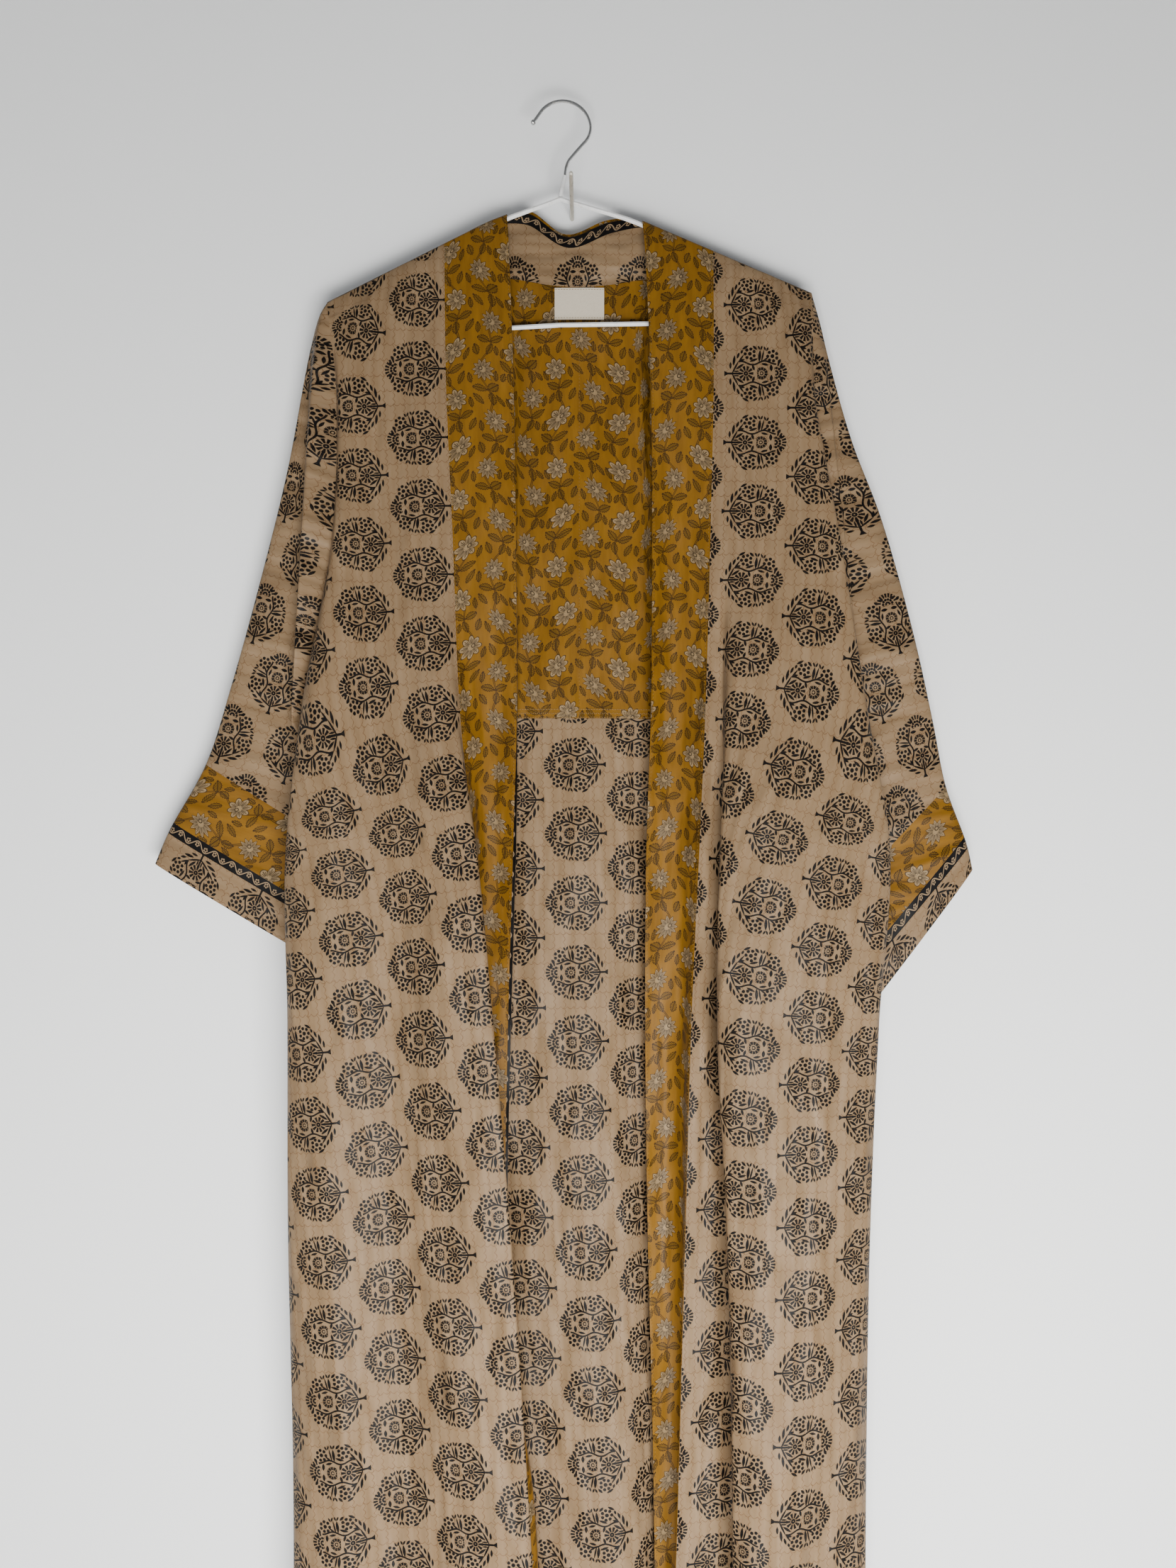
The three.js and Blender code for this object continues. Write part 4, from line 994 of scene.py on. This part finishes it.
LEFT_CREASES = [
    ((-131, -117), 54, 9, 4, 1.3), ((-139, -131), 40, 8, -6, -0.8), ((-168, -220), 150, 16, 74, 1.6),
    ((-186, -400), 190, 22, 82, -1.8), ((-150, -470), 330, 26, 97, 2.2), ((-184, -640), 400, 32, 92, 2.6),
    ((-148, -760), 460, 30, 99, -2.6), ((-116, -900), 420, 28, 102, 2.4), ((-200, -1000), 440, 34, 88, -2.4),
    ((-122, -1120), 300, 30, 98, -2.2),
]
RIGHT_CREASES = [
    ((160, -150), 60, 10, -24, 1.0), ((172, -240), 150, 16, 100, 1.6), ((196, -380), 200, 22, 96, -1.8),
    ((166, -480), 320, 24, 84, 2.2), ((206, -620), 380, 30, 90, 2.6), ((184, -800), 440, 30, 86, -2.6),
    ((214, -960), 420, 34, 91, 2.4), ((178, -1090), 360, 28, 88, 2.2),
]


BAND_PRINT = -9
BAND_STITCHES = {"off": 0.6, "pitch": 3.2, "first_row": 6, "columns": {"seam": 1, "edge": -2}}


def make_front(side, table, creases, first_column, first_row):
    """A front and its band. first_column is where the trees nearest the band stand, out from its seam."""
    lines = [line_points(line, -1) for line in table[:-1]]
    columns = np.linspace(0, len(lines) - 1, 20 * (len(lines) - 1) + 1)
    panel = drape(lines, columns, ROWS)
    across, down = cloth_map(panel, len(columns) - 1)
    start = np.interp(-first_row, -panel[:, -1, 2], down[:, -1])
    flat = (across + first_column, down - start)
    piece = cloth("front_" + side + "_silk", creased(panel, creases), flat, tree_silk)
    sewn("front_" + side, ["hanger_frame"])
    band = drape(band_lines(*table[-2:]), np.linspace(0, 3, 37), ROWS)
    width, reach = cloth_map(band, 0)
    piece = cloth("neckband_" + side + "_silk", band, (width + BAND_PRINT, reach), vine_silk)
    sewn("neckband_" + side, ["front_" + side + "_silk"])
    on_band = lifted(band, BAND_STITCHES["off"] * (1 if side == "right" else -1))
    for name, column in BAND_STITCHES["columns"].items():
        line = on_band[BAND_STITCHES["first_row"] :, column]
        name = f"band_stitches_{side}_{name}"
        stitches(name, line, BAND_STITCHES["pitch"], gold_thread, TO_VIEWER)
    return panel, band


left_panel, left_band = make_front("left", LEFT_FRONT, LEFT_CREASES, 28.7, -81.5)
right_panel, _ = make_front("right", RIGHT_FRONT, RIGHT_CREASES, 39, -86)

LEFT_FACING = {"off": 1.2, "reveal": 2.4, "first_row": 16, "shows_from": -435, "over": 120}
inside = lifted(left_band, LEFT_FACING["off"])[LEFT_FACING["first_row"] :]
below = LEFT_FACING["shows_from"] - inside[:, -1, 2]
shown = np.clip(below / LEFT_FACING["over"], 0, 1)
shown = (shown**2 * (3 - 2 * shown))[:, None]
outwards = inside[:, -1] - inside[:, -2]
outwards /= np.linalg.norm(outwards, axis=1, keepdims=True)
inside[:, -1] += outwards * LEFT_FACING["reveal"] * shown
inside[:, -2] += outwards * LEFT_FACING["reveal"] * shown * 0.5
width, reach = cloth_map(inside, 0)
from_edge = width[:, -1:] - width
facing = cloth("facing_left_silk", inside, (width, reach), bordered_silk, border=(reach, from_edge))
sewn("facing_left", ["neckband_left_silk"])


# ---- the sleeves and cuffs ----
# Wide sleeves set into the dropped armholes, printed silk down to an ochre cuff, 56 mm wide, and a hem strip
# that begins with the dark border. They hang beside and behind the body.
LEFT_SLEEVE = [
    ((-217, -21, -92), (-239, -33, -445), 11, 11),
    ((-226, -20, -122), (-232, -28, -458), 3, 10),
    ((-246, -19, -226), (-214, -22, -484), 5, 9),
    ((-268, -18, -315), (-190, -18, -514), 8, 8),
    ((-295, -18, -413), (-158, -17, -557), 8, 8),
    ((-317, -18, -481), (-134, -17, -595), 8, 8),
    ((-349, -18, -539), (-146, -17, -660), 9, 9),
    ((-361, -18, -567), (-158, -17, -687), 9, 9),
]
RIGHT_SLEEVE = [
    ((214, -21, -98), (251, -32, -446), 3, 10),
    ((222, -20, -130), (244, -28, -462), 3, 9),
    ((242, -19, -200), (238, -24, -486), 5, 9),
    ((268, -18, -268), (228, -20, -520), 7, 8),
    ((296, -18, -368), (210, -18, -575), 8, 8),
    ((313, -18, -445), (192, -18, -625), 8, 8),
    ((324, -18, -500), (176, -17, -655), 8, 8),
    ((342, -18, -550), (194, -17, -730), 9, 9),
    ((347, -18, -572), (206, -17, -757), 9, 9),
]
AROUND = 96
ROUNDNESS = 0.7
ARMHOLE_BULGE = 7
CUFF_PRINT = (4, 8)
CUFF_SHARE = 56 / 66
HEM_STEM = 38  # on the hem strip the trees stand upside down, their stems' feet on the dark border


def armhole_ring(front_edge, back_edge):
    """The sleeve's first ring: down the front's side seam and up the back's."""
    def share_along(edge_line, share):
        reach = np.concatenate([[0], np.cumsum(np.linalg.norm(np.diff(edge_line, axis=0), axis=1))])
        return np.stack([np.interp(share * reach[-1], reach, edge_line[:, k]) for k in range(3)], axis=1)

    turn = np.arange(AROUND) / AROUND
    share = (1 - np.cos(2 * math.pi * turn)) / 2
    a, b = share_along(front_edge, share), share_along(back_edge, share)
    bulge = np.abs(np.sin(2 * math.pi * turn)) ** ROUNDNESS
    b[:, 1] = np.maximum(b[:, 1], a[:, 1] + ARMHOLE_BULGE * bulge)
    ring = np.where((turn < 0.5)[:, None], a, b)
    for end in (0, AROUND // 2):
        ring[end] = (a[end] + b[end]) / 2
    return ring


def table_ring(outer, inner, front, back_depth):
    turn = np.arange(AROUND) / AROUND
    share = ((1 - np.cos(2 * math.pi * turn)) / 2)[:, None]
    ring = mix(np.array(outer, float), np.array(inner, float), share)
    bulge = np.abs(np.sin(2 * math.pi * turn)) ** ROUNDNESS
    ring[:, 1] += np.where(turn < 0.5, -front * bulge, back_depth * bulge)
    return ring


def make_sleeve(side, table, front_edge, back_edge, phase, areas):
    """One sleeve and its cuff. Its print runs straight down the sleeve, and turns round the outer fold."""
    rings = np.array([armhole_ring(front_edge, back_edge)] + [table_ring(*row) for row in table])
    hem = len(table)
    cuff = hem - 2
    border = cuff + CUFF_SHARE
    top, end = np.array(table[0][0], float), np.array(table[-1][0], float)
    way = (end - top) / np.linalg.norm(end - top)

    def piece(name, slot, start, end, count, finish, phase, flat, area, rests_on):
        rows = spline(rings, np.linspace(start, end, count))
        rows = np.concatenate([rows, rows[:, :1]], axis=1)
        down = (rows - top) @ way
        fold = rows[:, :1]
        width = np.linalg.norm((rows - fold) - ((rows - fold) @ way)[..., None] * way, axis=2)
        width[:, AROUND // 2 + 1 :] *= -1
        flat_map, edge = (down + phase[0], width + phase[1]), None
        if finish is bordered_silk:
            edge = (along(rows, 1), along(rows, 0))
            flat_map = (HEM_STEM - edge[1], edge[0] + phase[1])
        made = cloth(name + "_" + side + "_silk", rows, flat_map, finish, edge, closed=True)
        sewn(name + "_" + side, [rests_on + "_" + side + "_silk"])

    piece("sleeve", "printed_silk", 0, cuff, 60, tree_silk, phase, (0.7, 0.33), areas[0], "front")
    piece("cuff", "ochre_silk", cuff, border, 14, vine_silk, CUFF_PRINT, (0.48, 0.058), None, "sleeve")
    piece("cuff_hem", "printed_silk", border, hem, 14, bordered_silk, phase, (0.48, 0.044), areas[1], "cuff")


armhole = np.searchsorted(ROWS, UNDERARM_LEVEL) + 1
left_seams = (left_panel[:armhole, 0], back_points[:armhole, 0])
right_seams = (right_panel[:armhole, 0], back_points[:armhole, -1])
make_sleeve("left", LEFT_SLEEVE, *left_seams, (10, 20), (0.085, 0.021))
make_sleeve("right", RIGHT_SLEEVE, *right_seams, (4, 12), (0.075, 0.0165))


# ---- the finished robe ----
bpy.context.view_layer.update()
